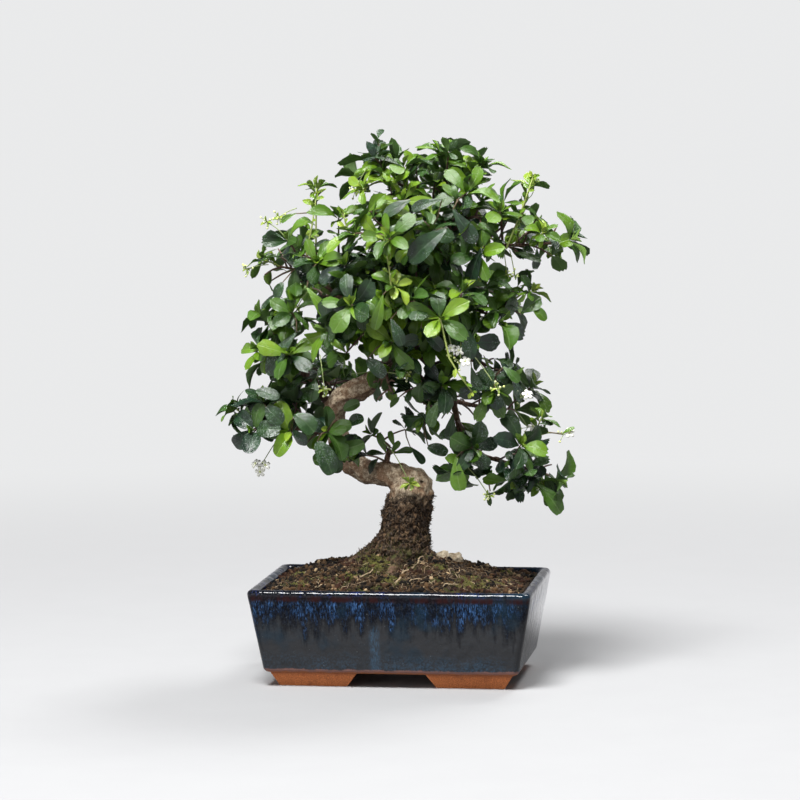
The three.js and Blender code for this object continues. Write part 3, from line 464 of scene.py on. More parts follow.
def soil_height(x, y):
    """The mound's height with its lumps and crumbs, and a low heap on its left."""
    lumps = 2.2 * noise.fractal(Vector((x / 13, y / 13, 3)), 0.8, 2, 3)
    heap_x, heap_y = (x - HEAP_PLACE[0]) / HEAP_SPREAD[0], (y - HEAP_PLACE[1]) / HEAP_SPREAD[1]
    lumps += HEAP_HEIGHT * math.exp(-(heap_x**2) - heap_y**2)
    crumbs = 1.5 * abs(noise.noise(Vector((x / 3.2, y / 3.2, 9))))
    crumbs += 0.5 * noise.noise(Vector((x / 1.3, y / 1.3, 5)))
    edge = min(1, 12 * (1 - max(abs(x) / SOIL_HALF[0], abs(y) / SOIL_HALF[1])))
    return mound_height(x, y) + (lumps + crumbs) * (0.35 + 0.65 * edge)


cells_x, cells_y = SOIL_CELLS
soil = begin(bpy.ops.mesh.primitive_grid_add, x_subdivisions=cells_x, y_subdivisions=cells_y, size=1)
resize(2 * SOIL_HALF[0] * MM, 2 * SOIL_HALF[1] * MM)
shift(0, 0, SOIL_EDGE_Z)
shape = bmesh.from_edit_mesh(soil.data)
for corner in shape.verts:
    corner.co.z = soil_height(corner.co.x / MM, corner.co.y / MM) * MM
bmesh.update_edit_mesh(soil.data)
pick(soil, "EDGE", lambda at: max(abs(at.x) - SOIL_HALF[0], abs(at.y) - SOIL_HALF[1]) > -0.01)
for drop in (SOIL_WALL_DEPTH, SOIL_EDGE_Z - SOIL_WALL_DEPTH - SOIL_BOTTOM_Z):
    bpy.ops.mesh.extrude_region_move(TRANSFORM_OT_translate={"value": (0, 0, -drop * MM)})
resize((CAVITY_BASE_SIZE[0] - 1) / (2 * SOIL_HALF[0]), (CAVITY_BASE_SIZE[1] - 1) / (2 * SOIL_HALF[1]), 0)
bpy.ops.mesh.edge_face_add()
bpy.ops.mesh.select_all(action="SELECT")
bpy.ops.mesh.normals_make_consistent(inside=False)
close(soil, "soil_mound", 75)

soil_finish, tree, shader = finish("moist_potting_soil", 0.92)
shader.inputs["Specular IOR Level"].default_value = 0.15
place = place_of(tree)
crumb_tone = grain(tree, place, 1.6, 6, 0.75)
patch_tone = grain(tree, place, 13, 3)
colour = tint(tree, ease(tree, crumb_tone, 0.42, 0.7), *SOIL_BROWN)
colour = tint(tree, ease(tree, patch_tone, 0.45, 0.7, 0, 0.5), colour, SOIL_PATCH)
mossy = ease(tree, grain(tree, place, 19, 4, 0.65), 0.52, 0.64)
mossy = product(tree, mossy, ease(tree, crumb_tone, 0.35, 0.55), 0.75)
colour = tint(tree, mossy, colour, SOIL_GREEN)
paint(tree, shader, colour)
relief(tree, shader, crumb_tone, 1.2, 0.9)
soil.data.materials.append(soil_finish)
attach(soil, "root")
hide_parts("soil")

# Soil crumbs: loose grains of bark and peat on the mound, each a small rough stone-like lump.
# They are copies of one lump, turned and stretched at random and half sunk.
CRUMBS = 4600
CRUMB_RADII = (0.6, 3.2)
CRUMB_BROWN = ((0.003, 0.002, 0.0012), (0.085, 0.048, 0.021))
CRUMB_TAN = (0.38, 0.27, 0.15)
CRUMB_RED = (0.07, 0.026, 0.014)
CRUMB_WET = (0.014, 0.008, 0.005)


class Growth:
    """Collects copies of small shapes, with their tones, and makes one piece of them."""

    def __init__(self):
        self.points, self.faces, self.tones, self.sides, self.places = [], [], [], [], []
        self.count = 0

    def add(self, points, faces, tone=0.0, side=0, places=None):
        """Adds one closed shape: points in millimetres, faces, a tone and a material side."""
        self.points.append(np.asarray(points, float))
        self.faces += [[index + self.count for index in face] for face in faces]
        self.tones.append(np.full(len(points), tone))
        self.sides += side if isinstance(side, list) else [side] * len(faces)
        self.places.append(np.zeros((len(points), 2)) if places is None else places)
        self.count += len(points)

    def make(self, name, materials):
        """The piece itself, with the tone and the place on each leaf as attributes."""
        mesh = bpy.data.meshes.new(name)
        mesh.from_pydata(np.concatenate(self.points) * MM, [], self.faces)
        mesh.attributes.new("tone", "FLOAT", "POINT").data.foreach_set("value", np.concatenate(self.tones))
        corners = np.empty(len(mesh.loops), int)
        mesh.loops.foreach_get("vertex_index", corners)
        blade = mesh.uv_layers.new(name="blade")
        blade.data.foreach_set("uv", np.concatenate(self.places)[corners].ravel())
        mesh.polygons.foreach_set("material_index", self.sides)
        mesh.polygons.foreach_set("use_smooth", np.ones(len(mesh.polygons), bool))
        mesh.set_sharp_from_angle(angle=math.radians(100))
        for material in materials:
            mesh.materials.append(material)
        piece = bpy.data.objects.new(name, mesh)
        bpy.context.scene.collection.objects.link(piece)
        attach(piece, "root")
        return piece


def lift_off(piece):
    """The points and faces of a small piece that is copied many times. The piece itself goes."""
    points = [corner.co.copy() for corner in piece.data.vertices]
    faces = [tuple(face.vertices) for face in piece.data.polygons]
    bpy.data.objects.remove(piece)
    return points, faces


def recorded(tree, name):
    """A number that is recorded on the piece's corners."""
    return node(tree, "Attribute", {}, "Fac", attribute_name=name)


random.seed(31)
lump = begin(bpy.ops.mesh.primitive_ico_sphere_add, subdivisions=1, radius=1)
for corner in bmesh.from_edit_mesh(lump.data).verts:
    corner.co *= 1 + 0.35 * noise.noise(corner.co * 1.7)
close(lump, "crumb")
lump_points, lump_faces = lift_off(lump)


def random_turn():
    """An even random rotation."""
    axis = Vector([random.gauss(0, 1) for _ in range(3)]).normalized()
    return Matrix.Rotation(random.uniform(0, 2 * math.pi), 3, axis)


def random_spot(margin):
    """A place on the mound, away from the pot's walls."""
    x = random.uniform(-1, 1) * (SOIL_HALF[0] - margin)
    y = random.uniform(-1, 1) * (SOIL_HALF[1] - margin)
    return x, y


crumbs = Growth()
for _ in range(CRUMBS):
    x, y = random_spot(2.5)
    radius = CRUMB_RADII[0] + (CRUMB_RADII[1] - CRUMB_RADII[0]) * random.random() ** 2.2
    stretch = Matrix.Diagonal((random.uniform(0.7, 1.5), random.uniform(0.6, 1.1), random.uniform(0.45, 0.9)))
    turn = random_turn()
    at = Vector((x, y, soil_height(x, y) + 0.15 * radius))
    crumbs.add([at + turn @ (stretch @ point) * radius for point in lump_points], lump_faces, random.random())
soil_crumbs = crumbs.make("soil_crumbs", [])

crumb_finish, tree, shader = finish("bark_and_peat_crumbs", 0.9)
shader.inputs["Specular IOR Level"].default_value = 0.2
place = place_of(tree)
tone = recorded(tree, "tone")
wet = grain(tree, place, 2.5, 4)
colour = tint(tree, ease(tree, tone, 0.35, 1), *CRUMB_BROWN)
colour = tint(tree, ease(tree, tone, 0.95, 0.99), colour, CRUMB_TAN)
colour = tint(tree, ease(tree, grain(tree, place, 30, 2), 0.52, 0.62, 0, 0.4), colour, CRUMB_RED)
colour = tint(tree, ease(tree, wet, 0.45, 0.75, 0, 0.5), colour, CRUMB_WET)
paint(tree, shader, colour)
relief(tree, shader, grain(tree, place, 0.7, 4), 0.5)
soil_crumbs.data.materials.append(crumb_finish)

# Soil fibres and surface roots: peat fibres lie loose on the mound, and a few pale living roots of the
# tree break its surface in front of the trunk.
FIBRES = 1700
FIBRE_LENGTHS = (4, 13)
FIBRE_RADII = (0.18, 0.42)
FIBRE_BROWN = ((0.02, 0.011, 0.006), (0.18, 0.115, 0.062))
ROOT_TAN = (0.36, 0.275, 0.165)
ROOT_STAIN = (0.1, 0.065, 0.035)
SURFACE_ROOTS = [
    ((3, -56), (18, -26), 1.15),
    ((18, -26), (24, -12), 0.9),
    ((10, -58), (26, -50), 0.7),
    ((-70, -62), (-52, -68), 0.6),
    ((-34, -50), (-18, -30), 0.7),
    ((44, -62), (66, -56), 0.55),
    ((-44, 30), (-20, 46), 1.1),
    ((24, 40), (52, 52), 1.0),
    ((70, 22), (88, 40), 0.8),
]


def square_to(direction):
    """Two directions square to one, so that the three are right-handed."""
    first = direction.orthogonal().normalized()
    return first, direction.cross(first).normalized()


def strand(points, radii, sides):
    """The points and faces of a closed round strand through the points."""
    rings, faces = [], []
    for i, point in enumerate(points):
        along = (points[min(i + 1, len(points) - 1)] - points[max(i - 1, 0)]).normalized()
        if i == 0:
            first, second = square_to(along)
        else:
            first = (first - along * first.dot(along)).normalized()
            second = along.cross(first)
        for k in range(sides):
            angle = 2 * math.pi * k / sides
            rings.append(point + (first * math.cos(angle) + second * math.sin(angle)) * radii[i])
    for i in range(len(points) - 1):
        for k in range(sides):
            a, b = i * sides + k, i * sides + (k + 1) % sides
            faces.append((a, b, b + sides, a + sides))
    faces.append(tuple(reversed(range(sides))))
    faces.append(tuple(range(len(rings) - sides, len(rings))))
    return rings, faces


def laid_strand(start, end, radius, wander, steps, lift):
    """A strand that lies on the soil between two places, dipping in at its ends."""
    points, radii = [], []
    bend = random.uniform(-wander, wander)
    for i in range(steps + 1):
        t = i / steps
        x = start[0] + (end[0] - start[0]) * t - (end[1] - start[1]) * bend * math.sin(math.pi * t)
        y = start[1] + (end[1] - start[1]) * t + (end[0] - start[0]) * bend * math.sin(math.pi * t)
        x += 2.4 * noise.noise(Vector((x / 4, y / 4, radius * 9)))
        y += 2.4 * noise.noise(Vector((x / 4, y / 4, radius * 5 + 7)))
        rise = lift * math.sin(math.pi * t) - 0.8 * (1 - math.sin(math.pi * t))
        points.append(Vector((x, y, soil_height(x, y) * 0.5 + mound_height(x, y) * 0.5 + 0.6 + rise)))
        radii.append(radius * (1 - 0.55 * t))
    return points, radii


fibres = Growth()
for _ in range(FIBRES):
    x, y = random_spot(5)
    angle = random.uniform(0, 2 * math.pi)
    length = random.uniform(*FIBRE_LENGTHS)
    end = (x + length * math.cos(angle), y + length * math.sin(angle))
    if abs(end[0]) > SOIL_HALF[0] - 3 or abs(end[1]) > SOIL_HALF[1] - 3:
        continue
    radius, lift = random.uniform(*FIBRE_RADII), random.uniform(0.2, 1.6)
    points, radii = laid_strand((x, y), end, radius, 0.3, 4, lift)
    tone = random.uniform(0, 0.75) if random.random() < 0.85 else 0.95
    fibres.add(*strand(points, radii, 4), tone)
for start, end, radius in SURFACE_ROOTS:
    points, radii = laid_strand(start, end, radius, 0.22, 12, 1.2)
    fibres.add(*strand(points, radii, 7), random.uniform(0.85, 1))
soil_fibres = fibres.make("soil_fibres_and_roots", [])
fibre_finish, tree, shader = finish("root_skin_and_fibre", 0.75)
tone = recorded(tree, "tone")
place = place_of(tree)
colour = tint(tree, ease(tree, tone, 0, 0.6), *FIBRE_BROWN)
colour = tint(tree, ease(tree, tone, 0.7, 0.95), colour, ROOT_TAN)
colour = tint(tree, ease(tree, grain(tree, place, 2, 4, 0.7), 0.45, 0.75, 0, 0.7), colour, ROOT_STAIN)
paint(tree, shader, colour)
relief(tree, shader, grain(tree, place, 0.8, 4), 0.3)
soil_fibres.data.materials.append(fibre_finish)

# Moss: low cushions of short green blades that have settled on the mound and round the trunk's foot.
# Each row gives a cushion's place and radius.
MOSS_PATCHES = [
    (-14, -30, 18), (-28, -14, 13), (0, -54, 11), (72, -52, 17), (90, -36, 10), (-86, -58, 9), (-62, 30, 14),
    (-96, -20, 8), (34, 34, 13), (92, 30, 10), (10, 52, 12), (-40, -48, 7), (40, -30, 7), (104, -10, 6),
]
MOSS_BLADES_PER_MM = 6.5
MOSS_BLADE_LENGTHS = (1.3, 2.9)
MOSS_GREEN = ((0.022, 0.026, 0.005), (0.19, 0.185, 0.03))
MOSS_BROWN = (0.06, 0.04, 0.014)

moss = Growth()
for patch_x, patch_y, patch_radius in MOSS_PATCHES:
    for _ in range(round(MOSS_BLADES_PER_MM * patch_radius**1.75)):
        reach = patch_radius * math.sqrt(random.random()) * random.uniform(0.6, 1.15)
        angle = random.uniform(0, 2 * math.pi)
        x, y = patch_x + reach * math.cos(angle), patch_y + 0.75 * reach * math.sin(angle)
        if abs(x) > SOIL_HALF[0] - 2 or abs(y) > SOIL_HALF[1] - 2:
            continue
        foot = Vector((x, y, soil_height(x, y) - 0.3))
        lean = Vector((random.uniform(-1, 1), random.uniform(-1, 1), random.uniform(0.7, 1.6))).normalized()
        tip = foot + lean * random.uniform(*MOSS_BLADE_LENGTHS)
        moss.add(*strand([foot, foot.lerp(tip, 0.5), tip], [0.3, 0.34, 0.05], 3), random.random())
soil_moss = moss.make("soil_moss", [])
moss_finish, tree, shader = finish("cushion_moss", 0.85)
tone = recorded(tree, "tone")
colour = tint(tree, tone, *MOSS_GREEN)
colour = tint(tree, ease(tree, grain(tree, place_of(tree), 7, 3), 0.48, 0.65, 0, 0.6), colour, MOSS_BROWN)
paint(tree, shader, colour)
soil_moss.data.materials.append(moss_finish)

# Pebbles: two pale rounded stones left on the mound, right of the trunk, half sunk in the soil.
# Each is one ball, stretched to its solid's size and made uneven.
PEBBLE_TAN = ((0.24, 0.18, 0.11), (0.62, 0.53, 0.39))
PEBBLE_FLECK = (0.14, 0.1, 0.06)

pebble_finish, tree, shader = finish("pale_stone", 0.8)
place = place_of(tree)
colour = tint(tree, ease(tree, grain(tree, place, 5, 5, 0.65), 0.35, 0.7), *PEBBLE_TAN)
colour = tint(tree, ease(tree, grain(tree, place, 1.1, 4, 0.7), 0.6, 0.75, 0, 0.7), colour, PEBBLE_FLECK)
paint(tree, shader, colour)
relief(tree, shader, grain(tree, place, 1.4, 5, 0.7), 0.5)
for name in ("pebble_left", "pebble_right"):
    low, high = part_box(name)
    stone = begin(bpy.ops.mesh.primitive_ico_sphere_add, subdivisions=4, radius=0.5)
    resize(*(high - low))
    middle = (low + high) / 2
    shift(*(middle / MM))
    for corner in bmesh.from_edit_mesh(stone.data).verts:
        unevenness = 0.35 * noise.fractal(corner.co / MM / 7, 1, 2, 3) - 0.02
        corner.co += (corner.co - middle) * unevenness
    bmesh.update_edit_mesh(stone.data)
    close(stone, name + "_stone", 80)
    stone.data.materials.append(pebble_finish)
    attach(stone, "root")
    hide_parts(name)

# Wood: trunk, surface roots and branches, which grew as one. The lower trunk is dark, rough and mossy,
# the elbow above it smooth and grey with cracks, and the limb and the bow are weathered to red-brown
# flakes. The bark turns brown on the thin branches.
BARK_CELL = 1.0
KNOT_NEAR = (29, -20, 180)
KNOT_RADIUS = 2.6
ROUGH_BARK_TOP = 168
DARK_BARK = ((0.010, 0.006, 0.0035), (0.18, 0.11, 0.062))
DARK_BARK_PATCH = (0.055, 0.024, 0.011)
DARK_BARK_PAINTED_HOLLOW_SHADE = (0.004, 0.0025, 0.0015)
PALE_BARK = ((0.19, 0.125, 0.075), (0.7, 0.585, 0.42))
PALE_BARK_PATCH = (0.25, 0.145, 0.08)
PALE_BARK_CRACK = (0.06, 0.04, 0.025)
PALE_BARK_PAINTED_HOLLOW_SHADE = (0.02, 0.012, 0.008)
TWIG_BARK = ((0.055, 0.03, 0.02), (0.2, 0.12, 0.08))
WEATHERED_BARK = (0.15, 0.085, 0.052)
BARK_MOSS = (0.05, 0.055, 0.016)
BARK_UNDERSIDE_PAINTED_SHADE = (0.02, 0.014, 0.01)
LIMB_X = (10, -22)
LIMB_TOP_Z = (252, 232)
BOW_BOTTOM_Z = (236, 256)
DARK_TO_PALE_Z = (156, 176)
PALE_TO_TWIG_Z = (275, 330)
TWIG_THICKNESS = (15, 8)
MOSS_TOP_Z = (142, 112)

cad_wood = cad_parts["trunk_and_branches"]
bpy.ops.object.select_all(action="DESELECT")
wood = bpy.data.objects.new("trunk_and_branches_bark", cad_wood.data.copy())
bpy.context.scene.collection.objects.link(wood)
bpy.context.view_layer.objects.active = wood
wood.select_set(True)
bpy.ops.object.mode_set(mode="EDIT")
bpy.ops.mesh.select_all(action="SELECT")
bpy.ops.mesh.remove_doubles(threshold=0.02 * MM)
bpy.ops.object.mode_set(mode="OBJECT")
bark_tree = BVHTree.FromObject(wood, bpy.context.evaluated_depsgraph_get())
knot_middle = bark_tree.find_nearest(Vector(KNOT_NEAR) * MM)[0] / MM
modify(wood, "REMESH", mode="VOXEL", voxel_size=BARK_CELL * MM, use_smooth_shade=True)
modify(wood, "SMOOTH", factor=0.5, iterations=5)


def thickness_under(at, normal):
    """How thick the wood is below a point of its bark, in metres."""
    hit = bark_tree.ray_cast(at - normal * 0.4 * MM, -normal)
    return hit[3] if hit[3] else 3 * MM


def rising(value, low, high):
    """0 up to the low value, 1 from the high one on, and an even climb between them."""
    return min(1, max(0, (value - low) / (high - low)))


def bark_lift(at, thickness):
    """How far the bark stands out at a place, in millimetres."""
    rough = 1 - rising(at.z - ROUGH_BARK_TOP + 8 + 9 * noise.noise(at / 14), 0, 14)
    thick = min(1, thickness / 24)
    streaks = 1 - abs(noise.noise(Vector((at.x / 5.5, at.y / 5.5, at.z / 13))))
    flakes = noise.fractal(Vector((at.x / 3.2, at.y / 3.2, at.z / 4.2)), 0.7, 2, 3)
    ledges = noise.ridged_multi_fractal(Vector((at.x / 6, at.y / 6, at.z / 3.4)), 0.9, 2, 3, 1, 2) - 1
    rough_lift = 3.0 * (streaks - 0.8) + 1.4 * flakes + 0.9 * ledges
    lumps = 1.5 * noise.noise(at / 15) + 0.8 * noise.noise(at / 6)
    cracks = noise.voronoi(Vector((at.x / 5, at.y / 5, at.z / 7)))[0]
    cracked = 0.35 * min(0.3, cracks[1] - cracks[0]) / 0.3 + 0.4 * noise.noise(at / 2.4)
    smooth_lift = lumps * 0.8 + cracked - 0.3
    knot = (at - knot_middle).length / KNOT_RADIUS
    hollow = -3.4 * math.exp(-(knot**2)) + 1.3 * math.exp(-((knot - 2) ** 2) * 2.5)
    return thick * (rough * rough_lift + (1 - rough) * smooth_lift) + hollow * thick


lifts, moves, thicknesses = [], [], []
for corner in wood.data.vertices:
    thicknesses.append(thickness_under(corner.co, corner.normal) / MM)
    lifts.append(bark_lift(corner.co / MM, thicknesses[-1]))
    moves.append(corner.normal * lifts[-1] * MM)
for corner, move in zip(wood.data.vertices, moves):
    corner.co += move
wood.data.attributes.new("lift", "FLOAT", "POINT").data.foreach_set("value", lifts)
wood.data.attributes.new("thickness", "FLOAT", "POINT").data.foreach_set("value", thicknesses)

bark, tree, shader = finish("fukien_tea_bark", 0.88)
shader.inputs["Specular IOR Level"].default_value = 0.2
place = place_of(tree)
height = node(tree, "SeparateXYZ", {0: place}, "Z")
streak_tone = grain(tree, place_of(tree, (1, 1, 0.45)), 2.6, 6, 0.72)
patch_tone = grain(tree, place, 11, 4, 0.6)
crack_cells = {"Vector": place_of(tree, (1, 1, 0.7)), "Scale": 1 / 4.6}
crack_tone = node(tree, "TexVoronoi", crack_cells, feature="DISTANCE_TO_EDGE")
lift = recorded(tree, "lift")
dark_bark = tint(tree, ease(tree, streak_tone, 0.42, 0.68), *DARK_BARK)
dark_bark = tint(tree, ease(tree, patch_tone, 0.5, 0.72, 0, 0.55), dark_bark, DARK_BARK_PATCH)
# Painted shade: the dark bark is darkened where it is sunk in, between its flakes and ledges.
dark_bark = tint(tree, ease(tree, lift, 0.5, -1.4, 0, 0.9), dark_bark, DARK_BARK_PAINTED_HOLLOW_SHADE)
pale_bark = tint(tree, ease(tree, streak_tone, 0.33, 0.6), *PALE_BARK)
pale_bark = tint(tree, ease(tree, patch_tone, 0.46, 0.6, 0, 0.75), pale_bark, PALE_BARK_PATCH)
cracked = product(tree, ease(tree, crack_tone, 0.05, 0.0), ease(tree, patch_tone, 0.42, 0.6, 0.1, 0.7))
pale_bark = tint(tree, cracked, pale_bark, PALE_BARK_CRACK)
# Painted shade: the pale bark is darkened where it is sunk in, in its hollows and the knot hole.
pale_bark = tint(tree, ease(tree, lift, -0.8, -2.0, 0, 0.9), pale_bark, PALE_BARK_PAINTED_HOLLOW_SHADE)
twig_bark = tint(tree, ease(tree, streak_tone, 0.35, 0.7), *TWIG_BARK)
leftward = node(tree, "SeparateXYZ", {0: place}, "X")
limb = product(tree, ease(tree, leftward, *LIMB_X), ease(tree, height, *LIMB_TOP_Z))
weathered = math_of(tree, "MAXIMUM", limb, ease(tree, height, *BOW_BOTTOM_Z))
flaking = grain(tree, place_of(tree, (1, 1, 1.6)), 5.5, 5, 0.75)
weathered = product(tree, weathered, ease(tree, flaking, 0.44, 0.56, 0.12, 0.8))
pale_bark = tint(tree, weathered, pale_bark, WEATHERED_BARK)
patchy = product(tree, math_of(tree, "SUBTRACT", patch_tone, 0.5), 46)
blend_height = math_of(tree, "ADD", height, patchy)
colour = tint(tree, ease(tree, blend_height, *DARK_TO_PALE_Z), dark_bark, pale_bark)
colour = tint(tree, ease(tree, blend_height, *PALE_TO_TWIG_Z), colour, twig_bark)
thickness = recorded(tree, "thickness")
colour = tint(tree, ease(tree, thickness, *TWIG_THICKNESS), colour, twig_bark)
mossy = ease(tree, grain(tree, place, 7, 5, 0.7), 0.42, 0.6)
mossy = product(tree, ease(tree, blend_height, *MOSS_TOP_Z), mossy, 0.7)
colour = tint(tree, mossy, colour, BARK_MOSS)
# Painted shade: the bark is darkened where it faces down, on the undersides of the trunk and limbs.
facing_up = node(tree, "SeparateXYZ", {0: node(tree, "NewGeometry", {}, "Normal")}, "Z")
colour = tint(tree, ease(tree, facing_up, -0.1, -0.8, 0, 0.5), colour, BARK_UNDERSIDE_PAINTED_SHADE)
paint(tree, shader, colour)
ridges = relief(tree, shader, streak_tone, 1.1, 0.8)
relief(tree, shader, grain(tree, place, 0.8, 4, 0.7), 0.35, 0.8, ridges)
wood.data.materials.clear()
wood.data.materials.append(bark)
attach(wood, "root")
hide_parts("trunk_and_branches")

# Bark fibres: the lower trunk is shaggy with old bark and root hairs that have come loose and point
# every way, most of them down. Each is a thin tapered strand rooted in the bark, among small chips.
BARK_FIBRES = 3400
BARK_CHIPS = 800
BARK_FIBRE_LENGTHS = (1.6, 5.2)
BARK_FIBRE_RADII = (0.2, 0.5)
BARK_CHIP_RADII = (0.5, 1.3)
SHAGGY_BOTTOM = 88
SHAGGY_THICKNESS = 12

random.seed(77)
shaggy_faces = [
    face
    for face in wood.data.polygons
    if SHAGGY_BOTTOM < face.center.z / MM < ROUGH_BARK_TOP
    and thickness_under(face.center, face.normal) > SHAGGY_THICKNESS * MM
]
fibres = Growth()
for face in random.choices(shaggy_faces, k=BARK_FIBRES):
    foot = face.center / MM - face.normal * 0.4
    side = face.normal.cross(Vector((0, 0, 1))).normalized()
    way = face.normal * random.uniform(0.25, 0.9) + side * random.uniform(-1, 1)
    way += Vector((0, 0, random.uniform(-1.3, 0.7)))
    way = way.normalized() * random.uniform(*BARK_FIBRE_LENGTHS)
    bend = face.normal * random.uniform(0.1, 0.7)
    points = [foot, foot + way * 0.5 + bend, foot + way]
    radius = random.uniform(*BARK_FIBRE_RADII)
    fibres.add(*strand(points, [radius, radius * 0.8, radius * 0.15], 3), random.uniform(0, 0.8) ** 2)
for face in random.choices(shaggy_faces, k=BARK_CHIPS):
    radius = random.uniform(*BARK_CHIP_RADII)
    stretch = Matrix.Diagonal((random.uniform(0.6, 1.0), random.uniform(0.6, 1.0), random.uniform(1.1, 2.6)))
    turn = Matrix.Rotation(random.gauss(0, 0.5), 3, face.normal)
    at = face.center / MM + face.normal * radius * random.uniform(0, 0.5)
    points = [at + turn @ (stretch @ point) * radius for point in lump_points]
    fibres.add(points, lump_faces, random.uniform(0, 0.4) ** 1.5)
bark_fibres = fibres.make("trunk_bark_fibres", [fibre_finish])

# Leaf blades: spoon-shaped, thin and leathery, with a rib and either a round end or a few blunt teeth.
# Each kind is modelled once as a closed blade of unit length and width, and all leaves are copies of it.
BLADE_ROWS = (0, 0.14, 0.34, 0.54, 0.72, 0.88, 1)
BLADE_THICKNESS = 0.45
BLADE_KINDS = {
    "oval": {
        "half_widths": (0.04, 0.15, 0.35, 0.48, 0.49, 0.35, 0.13),
        "tip": (0.95, 0.985, 1.0, 0.985, 0.95),
    },
    "spoon": {
        "half_widths": (0.04, 0.12, 0.29, 0.44, 0.5, 0.41, 0.2),
        "tip": (0.93, 0.985, 1.0, 0.985, 0.93),
    },
    "round": {
        "half_widths": (0.07, 0.27, 0.44, 0.5, 0.48, 0.37, 0.19),
        "tip": (0.94, 0.985, 0.995, 0.985, 0.94),
    },
    "toothed": {
        "half_widths": (0.04, 0.12, 0.29, 0.44, 0.5, 0.37, 0.22),
        "tip": (0.975, 0.93, 1.0, 0.93, 0.975),
    },
    "pointed": {
        "half_widths": (0.05, 0.2, 0.42, 0.5, 0.43, 0.24, 0.06),
        "tip": (0.97, 0.99, 1.0, 0.99, 0.97),
    },
}


def model_blade(half_widths, tip, fine=False):
    """One flat blade along +Y with its face up, closed by an underside that meets it at the edge."""
    rows = len(BLADE_ROWS) - 1
    blade = begin(bpy.ops.mesh.primitive_grid_add, x_subdivisions=4, y_subdivisions=rows, size=1)
    shape = bmesh.from_edit_mesh(blade.data)
    for corner in shape.verts:
        row = round((corner.co.y + 0.5) * rows)
        column = round((corner.co.x + 0.5) * 4)
        corner.co.x *= 2 * half_widths[row]
        corner.co.y = tip[column] if row == rows else BLADE_ROWS[row]
    bmesh.update_edit_mesh(blade.data)
    pick(blade, "FACE", lambda at: True)
    bpy.ops.mesh.duplicate()
    bpy.ops.mesh.flip_normals()
    shape = bmesh.from_edit_mesh(blade.data)
    for face in shape.faces:
        face.material_index = 1 if face.select else 0
    under = {corner for face in shape.faces if face.select for corner in face.verts}
    for corner in under:
        if not corner.is_boundary:
            corner.co.z = -1
    for corner in shape.verts:
        if corner not in under and not corner.is_boundary:
            corner.co.z = 0.2
    bmesh.update_edit_mesh(blade.data)
    bpy.ops.mesh.select_all(action="SELECT")
    bpy.ops.mesh.remove_doubles(threshold=0.0001)
    close(blade, "blade")
    if fine:
        modify(blade, "SUBSURF", levels=1)
    points = np.array([corner.co for corner in blade.data.vertices])
    faces = [tuple(face.vertices) for face in blade.data.polygons]
    sides = [face.material_index for face in blade.data.polygons]
    bpy.data.objects.remove(blade)
    return points, faces, sides


BLADES = {name: model_blade(**kind) for name, kind in BLADE_KINDS.items()}
BLADES |= {"fine_" + name: model_blade(**kind, fine=True) for name, kind in BLADE_KINDS.items()}


def grow_leaf(growth, kind, foot, along, across, length, width, arch, tone, fold, first_side=0):
    """Adds one leaf. Its rib droops by its arch, its sides fold up or hang, and its edge waves."""
    flat, faces, sides = BLADES[kind]
    normal = along.cross(across)
    x, y, z = flat[:, 0], flat[:, 1], flat[:, 2]
    wave, phase, twist = random.uniform(0, 0.035), random.uniform(0, 6), random.uniform(-0.35, 0.35)
    rise = (0.04 + 0.15 * abs(arch)) * np.sin(math.pi * np.minimum(y * 1.1, 1)) - arch * y**2.4
    cupped = np.sin(math.pi * np.clip(y, 0.05, 0.95)) ** 0.5
    sides_lift = fold * width / length * np.abs(2 * x) ** 1.5 * cupped
    ripple = wave * np.sin(y * 10 + phase + 2 * x) * np.abs(2 * x) ** 2
    turn = twist * y * x * width / length
    lift = (rise + sides_lift + ripple + turn) * length + z * BLADE_THICKNESS
    points = np.array(foot) + np.outer(y * length, along) - np.outer(x * width, across)
    points += np.outer(lift, normal)
    growth.add(points, faces, tone, [side + first_side for side in sides], np.column_stack([x + 0.5, y]))


# Leaf finishes: old leaves are dark blue-green and glossy under a little lime dust, new ones bright
# yellow-green. Light shines through them, and the underside is paler and dull.
LEAF_TONES = [
    (0.0, (0.008, 0.018, 0.014)),
    (0.2, (0.015, 0.040, 0.013)),
    (0.45, (0.053, 0.128, 0.008)),
    (0.72, (0.145, 0.275, 0.008)),
    (1.0, (0.46, 0.56, 0.075)),
]
LEAF_BLOTCH = ((0.03, 0.1, 0.035), (0.2, 0.4, 0.05))
LEAF_VEINS = ((0.07, 0.15, 0.07), (0.42, 0.55, 0.16))
UNDERSIDE_GREEN = (0.13, 0.2, 0.08)
LIME_DUST = (0.34, 0.42, 0.33)
LEAF_GLOW = (0.25, 0.45, 0.03)
GLOW_SHARE = 0.26
TWIG_BROWN_TO_GREEN = ((0.1, 0.055, 0.035), (0.26, 0.33, 0.07))
TWIG_STAIN = (0.17, 0.11, 0.07)


